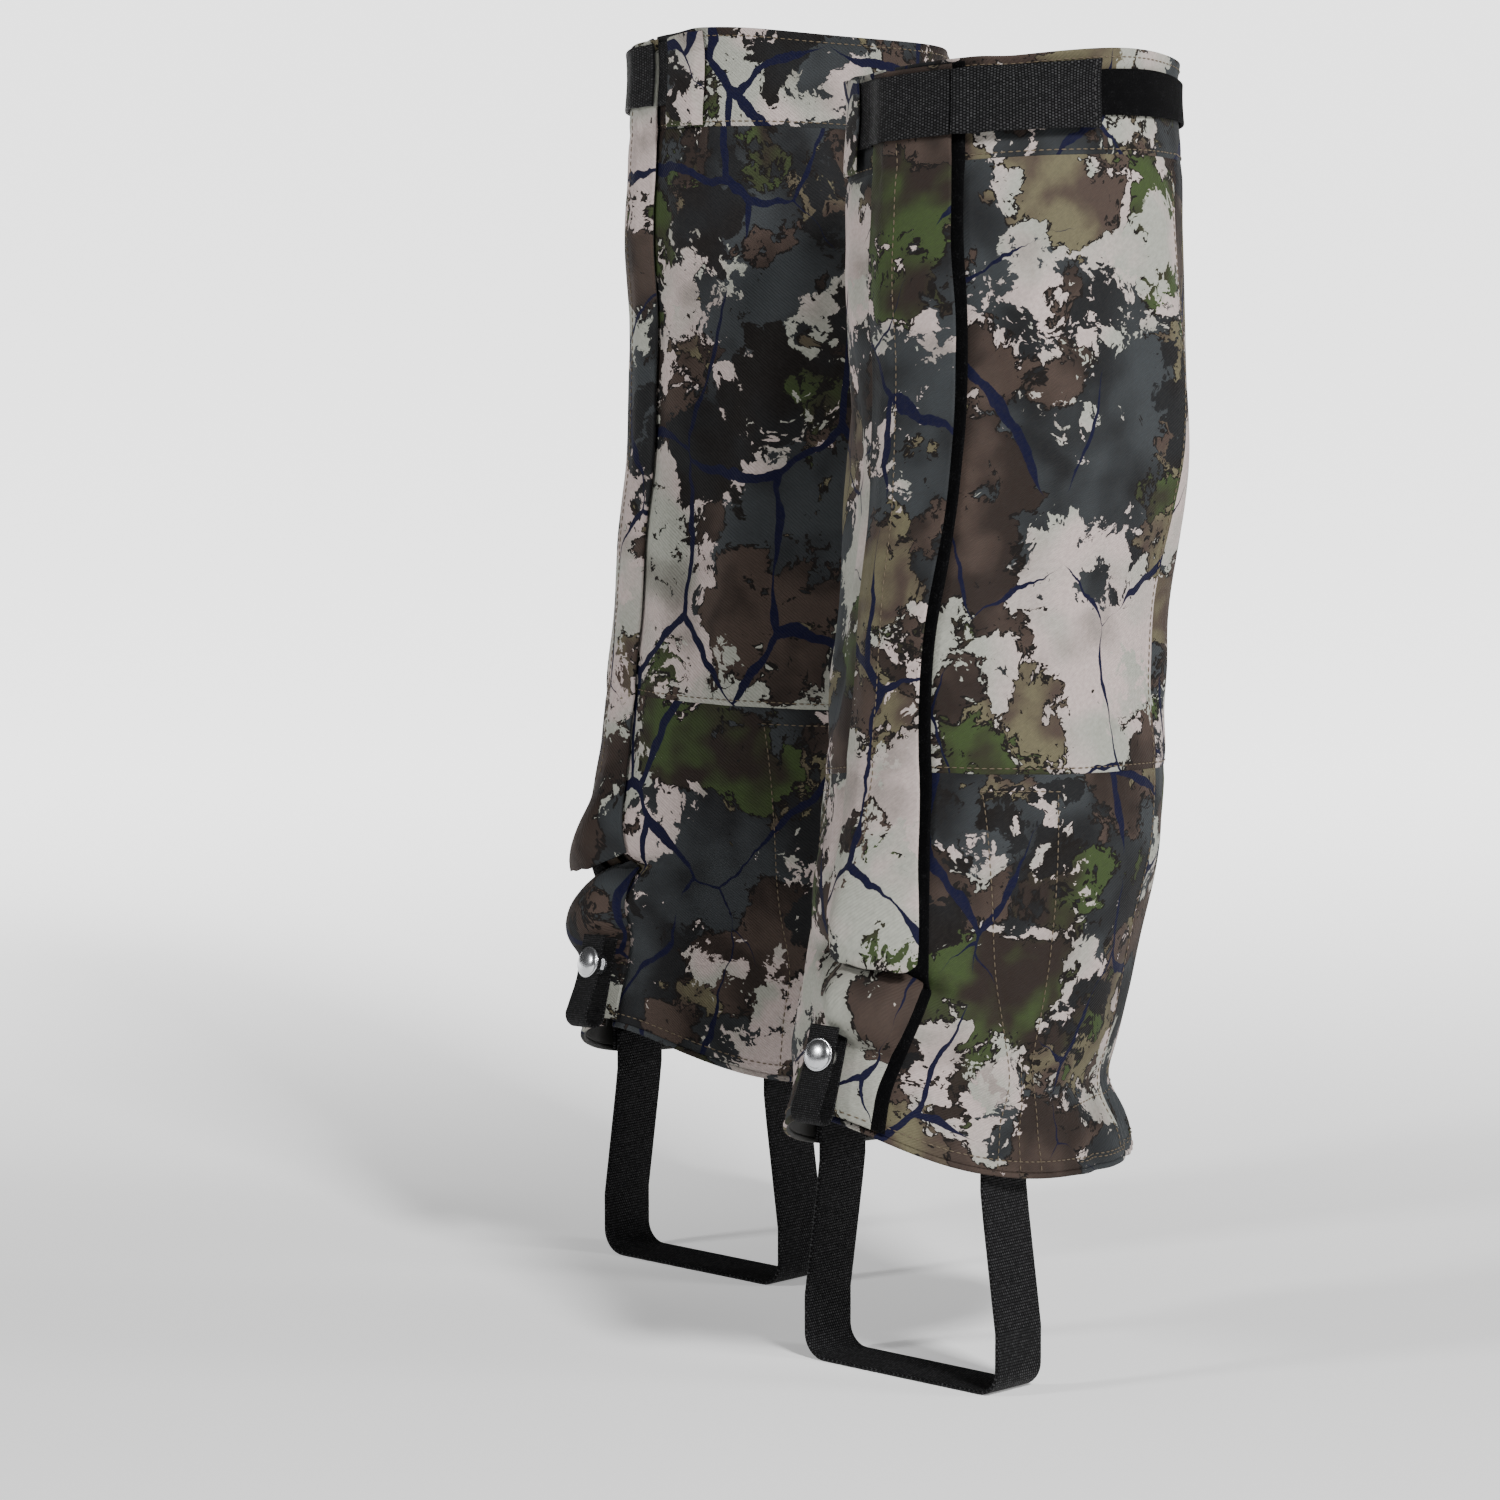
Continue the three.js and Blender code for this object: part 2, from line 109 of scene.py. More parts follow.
TURN = {"left": -11, "right": 22}
RIM, CUFF_SEAM, KNEE_SEAM, CREASE, HEM, HEM_FRONT = 484, 447, 227, 170, 79, 107
SECTIONS = np.array([
    # height, half width, half depth, shift forwards
    (76, 50, 81, 29.5), (116, 50, 70, 32), (151, 55, 67, 24), (185, 61, 65, 17), (220, 64, 64, 10),
    (280, 60, 60, 6.5), (344, 63, 63, -3), (420, 62, 62, -2), (490, 59.7, 59.7, -1),
])
LEAN_TOWARDS = {"left": 62, "right": -30}
LATERAL_EDGE, MEDIAL_EDGE, BACK_SEAM = 6, 0.5, 122
FLAP_ROOT, FLAP_FREE = -3, 32
TAPE_FROM, TAPE_TO, HOOKS_FROM, HOOKS_TO = 14, 35, 12, 31  # loop tape and hook tape under the flaps
CREASE_SLANT, CREASE_DEPTH, OVERHANG = 12, 7.5, 5.5
STRAP_END, FACING_FROM = 81, -29
CLOTH, TAPE, WEBBING, GAP = 1.6, 1.2, 1.6, 0.5
SHELL_OUT, RAISED_EDGE = CLOTH / 2, 0.1
ON_SHELL = SHELL_OUT + GAP + RAISED_EDGE
HOOK_IN = ON_SHELL + TAPE + GAP
OVER_TAPES = HOOK_IN + TAPE + GAP
INSIDE = -CLOTH / 2 - 2 * GAP
STRAP_LEVEL, STRAP_WIDTH, LOOP_TAPE_WIDTH = 469, 25, 16


def ease(x):
    x = np.clip(x, 0, 1)
    return x * x * (3 - 2 * x)


def bump(x, centre, reach):
    """1 at centre, fading to 0 over reach on either side."""
    return np.exp(-(((x - centre) / reach) ** 2))


def section_at(h):
    """Half width, half depth and shift at each height, on a smooth curve through SECTIONS."""
    heights = SECTIONS[:, 0]
    i = np.clip(np.searchsorted(heights, h) - 1, 0, len(heights) - 2)
    t = ((h - heights[i]) / (heights[i + 1] - heights[i]))[..., None]
    before, after = np.maximum(i - 1, 0), np.minimum(i + 2, len(heights) - 1)
    p0, p1, p2, p3 = (SECTIONS[k, 1:] for k in (before, i, i + 1, after))
    value = 0.5 * (2 * p1 + (p2 - p0) * t + (2 * p0 - 5 * p1 + 4 * p2 - p3) * t**2
                   + (3 * p1 - p0 - 3 * p2 + p3) * t**3)
    return value[..., 0], value[..., 1], value[..., 2]


def raised(phi, h):
    front = ((1 + np.cos(np.radians(phi))) / 2) ** 4
    share = np.clip((CREASE - h) / (CREASE - HEM), 0, 1)
    return h + (HEM_FRONT - HEM) * front * share


class Shape:
    """The worn surface of one gaiter, in row-frame metres: at(phi, h, off) for arrays of places."""

    def __init__(self, side):
        self.side = side
        self.mirror = 1 if side == "left" else -1
        self.slack = None

    def smooth(self, phi, h):
        h = raised(phi, h)
        half, deep, shift = section_at(h)
        share = ease((h - 125) / 95)
        angle = np.radians(phi + TURN[self.side] * share)
        rise = (h - KNEE_SEAM) / (RIM - KNEE_SEAM)
        lean = 6.5 * share + 5 * np.maximum(0, rise)
        z = h + lean * np.cos(angle - math.radians(LEAN_TOWARDS[self.side]))
        return np.stack([half * np.sin(angle), -shift - deep * np.cos(angle), z], -1)

    def worn(self, phi, h):
        point = self.smooth(phi, h)
        return point if self.slack is None else point + self.slack(phi, h)

    def at(self, phi, h, off=0.0, world=True):
        phi, h, off = np.broadcast_arrays(np.asarray(phi, float), np.asarray(h, float), off)
        along = self.worn(phi + 1.2, h) - self.worn(phi - 1.2, h)
        up = self.worn(phi, h + 1.5) - self.worn(phi, h - 1.5)
        normal = np.cross(along, up)
        normal /= np.linalg.norm(normal, axis=-1, keepdims=True)
        point = self.worn(phi, h) + normal * off[..., None]
        return self.place(point) if world else point

    def place(self, point):
        """From this gaiter's own millimetres to the row frame, mirrored for the right leg."""
        out = np.array(point) * [self.mirror, 1, 1] * MM
        out[..., :2] += AXIS[self.side]
        return out


# ---- Slack cloth ----------------------------------------------------------------------------------------


def mesh_object(name, verts, faces):
    mesh = bpy.data.meshes.new(name)
    mesh.from_pydata([tuple(v) for v in verts], [], faces)
    mesh.update()
    obj = bpy.data.objects.new(name, mesh)
    bpy.context.collection.objects.link(obj)
    return obj


def periodic_blur(field, reach):
    """A soft average over the grid, round the leg and up it."""
    steps = np.arange(-3 * reach, 3 * reach + 1)
    weights = np.exp(-0.5 * (steps / reach) ** 2)
    weights /= weights.sum()
    around = sum(w * np.roll(field, k, axis=0) for k, w in zip(steps, weights))
    padded = np.pad(around, ((0, 0), (3 * reach, 3 * reach), (0, 0)), mode="edge")
    return sum(w * padded[:, 3 * reach + k:padded.shape[1] - 3 * reach + k] for k, w in zip(steps, weights))


class Slack:
    """How far the cloth has moved from the smooth shape: a cloth simulation of the whole tube, and the
    puckers that its elastic, seams and crease hold."""

    AROUND, UP = 180, 136

    def __init__(self, shape):
        self.phi = np.arange(self.AROUND) * 360 / self.AROUND
        self.h = np.linspace(HEM, RIM, self.UP)
        grid = np.meshgrid(self.phi, self.h, indexing="ij")
        start = shape.smooth(*grid)
        slump = self.slump(start, *grid)
        self.move = slump + self.held_folds(start, *grid)

    def slump(self, start, phi, h, every=2):
        """A simulation on every second line of the grid, from cloth cut a little larger than the leg."""
        start, phi, h = start[::every, ::every], phi[::every, ::every], h[::every, ::every]
        n, m = phi.shape
        faces = [(i * m + j, (i + 1) % n * m + j, (i + 1) % n * m + j + 1, i * m + j + 1)
                 for i in range(n) for j in range(m - 1)]
        tube = mesh_object("slack_cloth", start.reshape(-1, 3) * MM, faces)
        group = tube.vertex_groups.new(name="held")
        front = ease((phi - 340) / 15) + ease((44 - phi) / 8)
        held = np.maximum.reduce([
            ease((h - 436) / 12),
            ease((HEM + 12 - h) / 9),
            0.8 * front,
            0.5 * bump(h, KNEE_SEAM, 5),
            0.4 * bump(phi, BACK_SEAM, 4),
        ]).reshape(-1)
        for index, weight in enumerate(held):
            if weight > 0.01:
                group.add([index], float(min(weight, 1)), "REPLACE")
        cloth = tube.modifiers.new("cloth", "CLOTH")
        cloth.settings.quality = 8
        cloth.settings.mass = 0.3
        cloth.settings.tension_stiffness = 30
        cloth.settings.compression_stiffness = 30
        cloth.settings.shear_stiffness = 12
        cloth.settings.bending_stiffness = 6
        cloth.settings.tension_damping = 15
        cloth.settings.air_damping = 3
        cloth.settings.vertex_group_mass = "held"
        cloth.settings.shrink_min = -0.045
        cloth.collision_settings.use_collision = False
        cloth.point_cache.frame_start = 1
        cloth.point_cache.frame_end = 30
        scene = bpy.context.scene
        for frame_number in range(1, 31):
            scene.frame_set(frame_number)
        result = tube.evaluated_get(bpy.context.evaluated_depsgraph_get()).to_mesh()
        moved = np.empty(len(result.vertices) * 3)
        result.vertices.foreach_get("co", moved)
        scene.frame_set(1)
        bpy.data.objects.remove(tube)
        move = periodic_blur(moved.reshape(start.shape) / MM - start, 1)
        return self.limited(self.finer(move, every))

    def finer(self, move, every):
        """Back from every second line to the whole grid."""
        whole = np.empty((self.AROUND, self.UP, 3))
        rows = np.arange(move.shape[1]) * every
        for axis in range(3):
            up = np.stack([np.interp(np.arange(self.UP), rows, line) for line in move[..., axis]])
            closed = np.concatenate([up, up[:1]])
            at = np.arange(len(closed)) * every
            columns = [np.interp(np.arange(self.AROUND), at, line) for line in closed.T]
            whole[..., axis] = np.stack(columns, 1)
        return periodic_blur(whole, 1)

    def limited(self, move, most=6.0):
        size = np.linalg.norm(move, axis=-1, keepdims=True)
        return move * most / (most + size)

    def held_folds(self, start, phi, h):
        """Heel gathers, drag lines by the strap anchors, the crease over the instep, the long folds of
        the calf, puckered seams and the rim. Each line adds to the distance out from the leg, in mm."""
        turn = np.radians(phi)
        heel = ease((phi - 84) / 24) * ease((276 - phi) / 24)
        wander = 1.3 * np.sin(turn * 5) + 0.8 * np.sin(turn * 11 + h / 16)
        ridge = np.abs(np.cos(turn * 14 + wander)) ** 2.2
        radial = heel * bump(h, HEM + 14, 17) * (4.6 * ridge - 1.5) * (0.75 + 0.25 * np.sin(turn * 7))
        radial += 0.8 * heel * bump(h, HEM + 44, 14)
        sides = bump(phi, 74, 26) + bump(phi, 288, 26)
        drag = np.cos((h * 0.55 + phi * 1.0) / 5.0 + 0.8 * np.sin(h / 19))
        radial += 1.9 * sides * bump(h, 120, 27) * np.maximum(drag, -0.35)
        front = bump(phi, 12, 30) + bump(phi, 372, 30)
        across_flap = ((phi + 30) % 360 - 30 - FLAP_ROOT) / (FLAP_FREE - FLAP_ROOT)
        low_crease = CREASE - 2 - CREASE_SLANT * np.clip(across_flap, -0.3, 1.4)
        radial += front * (6.5 * bump(h, low_crease - 26, 11) + 5.0 * bump(h, low_crease + 10, 15))
        radial -= front * CREASE_DEPTH * bump(h, low_crease - 7, 5)
        calf = ease((h - 232) / 40) * ease((447 - h) / 26)
        fold_line = turn * 6 + 1.1 * np.sin(h / 58) + (h - 340) / 150
        long_fold = 0.5 + 0.5 * np.cos(fold_line)
        small_fold = 0.5 + 0.5 * np.cos(turn * 13 - h / 46 + 1.4 * np.sin(turn * 3))
        round_back = ease((phi - 38) / 16) * ease((350 - phi) / 16)
        inner_side = 0.55 + 0.45 * ease((phi - 130) / 60)
        radial += calf * round_back * inner_side * (6.5 * long_fold**3 - 2.0)
        radial += 1.3 * round_back * inner_side * bump(h, 412, 40) * small_fold**3
        across = np.cos((h + 0.36 * phi) / 12 + 1.3 * np.sin(turn * 2)) * (0.5 + 0.5 * np.sin(turn * 3 + 2))
        radial += 1.7 * round_back * bump(h, 200, 32) * np.maximum(across, -0.5)
        for seam in (CUFF_SEAM, KNEE_SEAM):
            pucker = np.cos(turn * 31 + 2 * np.sin(turn * 4)) * (0.5 + 0.5 * np.sin(turn * 9 + seam))
            radial += (0.45 * pucker - 0.15) * bump(h, seam, 8) - 0.5 * bump(h, seam, 2.5)
        flap = ease((phi - 350) / 6) + ease((37 - phi) / 5)
        ripple = np.sin(h / 21 + 0.7) + 0.6 * np.sin(h / 9.3 + 2)
        radial += 0.7 * flap * ease((h - 190) / 20) * ease((440 - h) / 20) * ripple
        radial -= 0.9 * bump(h, STRAP_LEVEL, 13) - 0.6 * ease((h - 478) / 8)
        radial += 0.8 * round_back * ease((h - 474) / 8) * np.cos(turn * 9 + 2 * np.sin(turn * 2))
        away = start * [1, 1, 0]
        away = away / np.linalg.norm(away, axis=-1, keepdims=True)
        rise = 1.3 * np.cos(turn * 3 + 1.2) * ease((h - 462) / 24) * round_back
        return away * radial[..., None] + rise[..., None] * np.array([0, 0, 1])

    def __call__(self, phi, h):
        u = np.mod(phi, 360) / 360 * self.AROUND
        v = np.clip((h - HEM) / (RIM - HEM), 0, 1) * (self.UP - 1)
        i, j = np.floor(u).astype(int), np.minimum(np.floor(v).astype(int), self.UP - 2)
        s, t = (u - i)[..., None], (v - j)[..., None]
        i0, i1 = i % self.AROUND, (i + 1) % self.AROUND
        low = self.move[i0, j] * (1 - s) + self.move[i1, j] * s
        high = self.move[i0, j + 1] * (1 - s) + self.move[i1, j + 1] * s
        return low * (1 - t) + high * t


# ---- Sheets that follow the worn surface -----------------------------------------------------------------

RADIUS = 62  # for lengths measured round the leg


def stops(first, last, step, turned):
    """Places from first to last, closer together along the two turned edges."""
    edge = np.array([0, 0.25, 0.55, 1]) * turned
    inner = np.linspace(first + turned, last - turned, max(2, int(np.ceil((last - first) / step)) + 1))
    return np.concatenate([first + edge[:-1], inner, (last - edge[:-1])[::-1]])


def constant(value):
    return value if callable(value) else lambda place: np.full_like(place, float(value))


def fabric(shape, name, round_leg, low, high, inner, thick, step=2.2, turned=0.8, height_step=None,
           lift=None):
    """A closed sheet with soft turned edges. Its side edges may follow the height, and its ends and its
    inner face may follow the place round the leg. lift is how far it stands off, from place and height.
    The second half of its faces is the inner side."""
    first_at, last_at, low_at, high_at, inner_at = map(constant, (*round_leg, low, high, inner))
    per_degree = RADIUS * math.pi / 180
    middle = np.array([float(np.mean([edge(np.array([150.0]))[0] for edge in (low_at, high_at)]))])
    width = float(last_at(middle)[0] - first_at(middle)[0]) * per_degree
    centre = (first_at(middle) + last_at(middle)) / 2
    span = float(high_at(centre)[0] - low_at(centre)[0])
    u = stops(0, 1, step / width, turned / width)
    v = stops(0, 1, (height_step or step) / span, turned / span)
    u, v = np.meshgrid(u, v, indexing="ij")
    p = first_at(middle) * (1 - u) + last_at(middle) * u
    h = low_at(p) * (1 - v) + high_at(p) * v
    p = first_at(h) * (1 - u) + last_at(h) * u
    edge = np.minimum.reduce([u * width, (1 - u) * width, h - low_at(p), high_at(p) - h]) / turned
    crown = np.sqrt(np.clip(1 - (1 - np.clip(edge, 0, 1)) ** 2, 0, 1))
    half = thick / 2 * (0.25 + 0.75 * crown)
    centre_off = inner_at(p) + thick / 2 + (lift(p, h) if lift else 0)
    outer = shape.at(p, h, centre_off + half)
    inside = shape.at(p, h, centre_off - half)
    n, m = p.shape
    number = lambda i, j, k: (k * n + i) * m + j
    faces = [(number(i, j, 0), number(i + 1, j, 0), number(i + 1, j + 1, 0), number(i, j + 1, 0))
             for i in range(n - 1) for j in range(m - 1)]
    ring = [(i, 0) for i in range(n - 1)] + [(n - 1, j) for j in range(m - 1)]
    ring += [(i, m - 1) for i in range(n - 1, 0, -1)] + [(0, j) for j in range(m - 1, 0, -1)]
    for (i, j), (k, l) in zip(ring, ring[1:] + ring[:1]):
        faces.append((number(i, j, 0), number(i, j, 1), number(k, l, 1), number(k, l, 0)))
    outer_faces = len(faces)
    faces += [(number(i, j, 1), number(i, j + 1, 1), number(i + 1, j + 1, 1), number(i + 1, j, 1))
              for i in range(n - 1) for j in range(m - 1)]
    if shape.mirror < 0:
        faces = [face[::-1] for face in faces]
    obj = mesh_object(name, np.concatenate([outer.reshape(-1, 3), inside.reshape(-1, 3)]), faces)
    obj["outer_faces"] = outer_faces
    flat = np.stack([p * per_degree * MM, h * MM], -1).reshape(-1, 2)
    lay_out(obj, np.concatenate([flat, flat]))
    return obj


def line_with(obj, material):
    """The inner side of the sheet shows its lining."""
    obj.data.materials.append(material)
    for polygon in obj.data.polygons[obj["outer_faces"]:]:
        polygon.material_index = 1


def lay_out(obj, flat):
    """The piece's own UV map is its cut shape laid flat, in metres."""
    layer = obj.data.uv_layers.new(name="cut")
    index = np.empty(len(obj.data.loops), int)
    obj.data.loops.foreach_get("vertex_index", index)
    layer.data.foreach_set("uv", flat[index].reshape(-1))
    for polygon in obj.data.polygons:
        polygon.use_smooth = True


def flap_in(phi):
    return ON_SHELL + (OVER_TAPES - ON_SHELL) * ease((phi - FLAP_ROOT) / 11)


def slack_edge(h):
    """How far the flap's free edge is drawn back towards the front, in degrees."""
    return 4.5 * bump(h, 262, 62) + 0.5 * np.sin(h / 31) + 0.35 * np.sin(h / 12.7) - 0.6


def toe_slant(h):
    """The toe flap narrows towards its lower corner, in degrees."""
    return 8.5 * ease((152 - h) / 60)


def crease_at(phi):
    return CREASE - CREASE_SLANT * (phi - FLAP_ROOT) / (FLAP_FREE - FLAP_ROOT)


def strap_level(width):
    return STRAP_LEVEL - width / 2, STRAP_LEVEL + width / 2


def strap_in(phi):
    over_flap = flap_in(np.minimum(phi, FLAP_FREE)) + CLOTH + GAP
    down = over_flap + (OVER_TAPES - over_flap) * ease((phi - FLAP_FREE - 1) / 8)
    return np.where(phi < FLAP_ROOT, ON_SHELL, down)


# ---- Shader maths ----------------------------------------------------------------------------------------


class Value:
    """A socket that adds Math nodes when it is used in an expression."""

    def __init__(self, paint, socket):
        self.paint = paint
        self.socket = socket

    def math(self, operation, *others):
        inputs = {0: self, **{i + 1: other for i, other in enumerate(others)}}
        return self.paint.node("ShaderNodeMath", inputs, operation=operation)

    def __add__(self, other):
        return self.math("ADD", other)

    def __sub__(self, other):
        return self.math("SUBTRACT", other)

    def __mul__(self, other):
        return self.math("MULTIPLY", other)

    def __rsub__(self, other):
        return self.paint.node("ShaderNodeMath", {0: other, 1: self}, operation="SUBTRACT")

    __radd__ = __add__
    __rmul__ = __mul__

    def step(self, low, high):
        """0 below low, 1 above high, smooth between."""
        return self.paint.node("ShaderNodeMapRange", {0: self, 1: low, 2: high, 3: 0.0, 4: 1.0},
                               interpolation_type="SMOOTHSTEP")


class Paint:
    """One material and its nodes."""

    def __init__(self, name, roughness=0.8, metallic=0.0, specular=0.4, **constants):
        self.material = bpy.data.materials.new(name)
        self.material.use_nodes = True
        self.tree = self.material.node_tree
        self.surface = self.tree.nodes["Principled BSDF"]
        self.surface.inputs["Roughness"].default_value = roughness
        self.surface.inputs["Metallic"].default_value = metallic
        self.surface.inputs["Specular IOR Level"].default_value = specular
        for socket, value in constants.items():
            self.surface.inputs[socket.replace("_", " ")].default_value = value

    def node(self, kind, inputs=None, output=0, **settings):
        node = self.tree.nodes.new(kind)
        for key, value in settings.items():
            setattr(node, key, value)
        for key, value in (inputs or {}).items():
            self.join(node.inputs[key], value)
        return Value(self, node.outputs[output])

    def join(self, socket, value):
        if isinstance(value, Value):
            self.tree.links.new(value.socket, socket)
        else:
            socket.default_value = value

    def cut(self):
        return self.node("ShaderNodeUVMap", uv_map="cut")

    def mapped(self, place, scale=(1, 1, 1), turn=0.0, move=(0, 0, 0)):
        return self.node("ShaderNodeMapping",
                         {"Vector": place, "Scale": scale, "Rotation": (0, 0, turn), "Location": move})

    def noise(self, place, scale, detail=4.0, roughness=0.55, seed=0.0):
        return self.node("ShaderNodeTexNoise", {
            "Vector": place, "W": seed, "Scale": scale, "Detail": detail, "Roughness": roughness,
            "Distortion": 0.0}, noise_dimensions="4D")

    def mix(self, share, below, above):
        inputs = {"Factor": share, 6: below, 7: above}
        return self.node("ShaderNodeMix", inputs, output=2, data_type="RGBA")

    def bend(self, place, amount, scale, seed):
        """The place moved about by a noise, for ragged outlines."""
        inputs = {"Vector": place, "W": seed, "Scale": scale, "Detail": 3.0}
        wander = self.node("ShaderNodeTexNoise", inputs, output=1, noise_dimensions="4D")
        centred = self.node("ShaderNodeVectorMath", {0: wander, 1: (0.5, 0.5, 0.5)}, operation="SUBTRACT")
        scaled = self.node("ShaderNodeVectorMath", {0: centred, "Scale": amount}, operation="SCALE")
        return self.node("ShaderNodeVectorMath", {0: place, 1: scaled}, operation="ADD")

    def set(self, socket, value):
        self.join(self.surface.inputs[socket], value)

    def raise_by(self, height, distance, strength=1.0):
        normal = self.node("ShaderNodeBump", {"Height": height, "Distance": distance, "Strength": strength})
        self.set("Normal", normal)


def rgb(red, green, blue):
    return (red, green, blue, 1.0)


CAMO = {
    "pale": rgb(0.43, 0.355, 0.335),
    "pale_green": rgb(0.30, 0.305, 0.265),
    "shade": rgb(0.135, 0.125, 0.108),
    "slate": rgb(0.032, 0.036, 0.039),
    "dark_slate": rgb(0.009, 0.0095, 0.0105),
    "brown": rgb(0.052, 0.036, 0.029),
    "dark_brown": rgb(0.006, 0.0045, 0.004),
    "umber": rgb(0.020, 0.0135, 0.011),
    "olive": rgb(0.110, 0.098, 0.058),
    "green": rgb(0.036, 0.055, 0.018),
    "navy": rgb(0.002, 0.0025, 0.020),
}


def camouflage(name, cut_from):
    """Leaf-litter camouflage: soft pale ground, ragged overlapping blots and dark branches. cut_from moves
    the print, so that it breaks at the seams."""
    paint = Paint(name, roughness=0.8, specular=0.14)
    cloth = paint.cut()
    place = paint.mapped(cloth, move=(*cut_from, 0))
    wandering = paint.bend(place, 0.020, 38, 3.1)
    ragged = paint.bend(paint.bend(wandering, 0.0045, 260, 5.7), 0.0016, 900, 1.7)
    tint = paint.noise(place, 17, 2, seed=1).step(0.44, 0.56)
    colour = paint.mix(tint, CAMO["pale"], CAMO["pale_green"])
    clouds = paint.noise(wandering, 30, 2, 0.4, seed=8).step(0.5, 0.74) * 0.8
    colour = paint.mix(clouds, colour, CAMO["shade"])
    flakes = paint.noise(ragged, 210, 3, 0.7, seed=60) - 0.5
    chips = paint.noise(ragged, 95, 3, 0.7, seed=61) - 0.5

    def blot(colour, inside, deep, scale, seed, level, flaking, outline=0.0):
        """Flakes break the edge up, so that it ends in chips and specks."""
        field = paint.noise(wandering, scale, 3, 0.5, seed) + chips * flaking + flakes * (flaking * 0.55)
        if outline:
            rim = field.step(level - outline, level - outline + 0.003)
            colour = paint.mix(rim, colour, CAMO["dark_brown"])
        depth = paint.noise(wandering, scale * 2.6, 2, 0.5, seed + 3).step(0.40, 0.62)
        tone = paint.mix(depth, CAMO[inside], CAMO[deep])
        return paint.mix(field.step(level, level + 0.004), colour, tone)

    colour = blot(colour, "slate", "dark_slate", 10, 6.3, 0.495, 0.20)
    colour = blot(colour, "brown", "umber", 15, 9.8, 0.545, 0.20, outline=0.012)
    colour = blot(colour, "olive", "brown", 19, 4.0, 0.585, 0.26, outline=0.014)
    colour = blot(colour, "dark_slate", "dark_brown", 13, 13.2, 0.60, 0.16)
    colour = blot(colour, "green", "umber", 16, 17.9, 0.605, 0.24, outline=0.014)
    colour = blot(colour, "pale_green", "pale", 15, 23.5, 0.615, 0.40)
    stretched = paint.mapped(place, scale=(1.2, 0.75, 1))
    lines = paint.bend(paint.bend(stretched, 0.030, 22, 2.0), 0.0024, 190, 7.0)
    branch = paint.node("ShaderNodeTexVoronoi", {"Vector": lines, "Scale": 17.0},
                        feature="DISTANCE_TO_EDGE", voronoi_dimensions="2D")
    width = paint.noise(place, 15, 2, seed=31).step(0.40, 0.60) * 0.030
    colour = paint.mix((width - branch).step(0.0, 0.003), colour, CAMO["navy"])
    worn = paint.noise(place, 620, 2, seed=40).step(0.25, 0.8) * 0.22
    colour = paint.mix(worn, colour, rgb(0.024, 0.022, 0.020))
    paint.set("Base Color", colour)
    paint.set("Roughness", paint.noise(place, 180, 2, seed=44) * 0.2 + 0.68)
    twill = paint.node("ShaderNodeTexWave", {
        "Vector": paint.mapped(cloth, turn=math.radians(52)), "Scale": 300.0, "Distortion": 0.8,
        "Detail": 1.0, "Detail Scale": 3.0}, output=1, wave_profile="SIN")
    crumple = paint.noise(place, 70, 4, 0.6, seed=50)
    paint.raise_by(twill * 0.16 + crumple, 0.0013, 0.5)
    return paint.material


def lining(name):
    """Dark proofed lining with a fine grid weave."""
    paint = Paint(name, roughness=0.6, specular=0.25)
    grid = paint.node("ShaderNodeTexChecker", {"Vector": paint.cut(), "Scale": 900.0}, output=1)
    patchy = paint.noise(paint.cut(), 55, 4, 0.6)
    paint.set("Base Color", paint.mix(patchy, rgb(0.014, 0.014, 0.013), rgb(0.034, 0.033, 0.030)))
    paint.set("Roughness", patchy * 0.25 + 0.45)
    paint.raise_by(grid * 0.3 + patchy, 0.0008, 0.5)
    return paint.material


def webbing(name, pitch=1.55, tone=0.045):
    """Woven tape: columns of short floats, offset in every other column, that glint as small dots."""
    paint = Paint(name, roughness=0.55, specular=0.12)
    size = 1 / (pitch * MM)
    cloth = paint.mapped(paint.cut(), scale=(size, size, 1), turn=math.radians(90))
    brick = paint.node("ShaderNodeTexBrick", {
        "Vector": cloth, "Color1": rgb(1, 1, 1), "Color2": rgb(0.55, 0.55, 0.55), "Mortar": rgb(0, 0, 0),
        "Scale": 1.0, "Mortar Size": 0.20, "Mortar Smooth": 1.0, "Brick Width": 0.72, "Row Height": 0.72})
    floats = paint.node("ShaderNodeRGBToBW", {0: brick})
    slubs = paint.noise(paint.cut(), 700, 2)
    glint = floats * floats * (slubs * 1.2 + 0.2)
    paint.set("Base Color", paint.mix(glint, rgb(0.0012, 0.0012, 0.0015), rgb(tone, tone, tone * 1.04)))
    paint.set("Roughness", 0.8 - floats * 0.3)
    paint.raise_by(floats, 0.0006, 1.0)
    return paint.material


def fuzzy(name, grain=1500, tone=0.024):
    """Hook-and-loop tape: a dense black pile that catches the light in specks."""
    paint = Paint(name, roughness=0.95, specular=0.08)
    pile = paint.noise(paint.cut(), grain, 3, 0.75)
    clumps = paint.noise(paint.cut(), grain / 6, 2, 0.6, seed=4)
    lit = (pile * 0.7 + clumps * 0.3).step(0.52, 0.74)
    paint.set("Base Color", paint.mix(lit, rgb(0.0015, 0.0015, 0.0018), rgb(tone, tone, tone * 1.05)))
    paint.raise_by(pile * 0.7 + clumps * 0.5, 0.0014, 1.0)
    return paint.material


def thread_paint(name, colour):
    paint = Paint(name, roughness=0.6)
    twist = paint.noise(paint.node("ShaderNodeTexCoord", output=3), 1500, 2)
    paint.set("Base Color", paint.mix(twist * 0.5, colour, rgb(0.02, 0.015, 0.01)))
    return paint.material


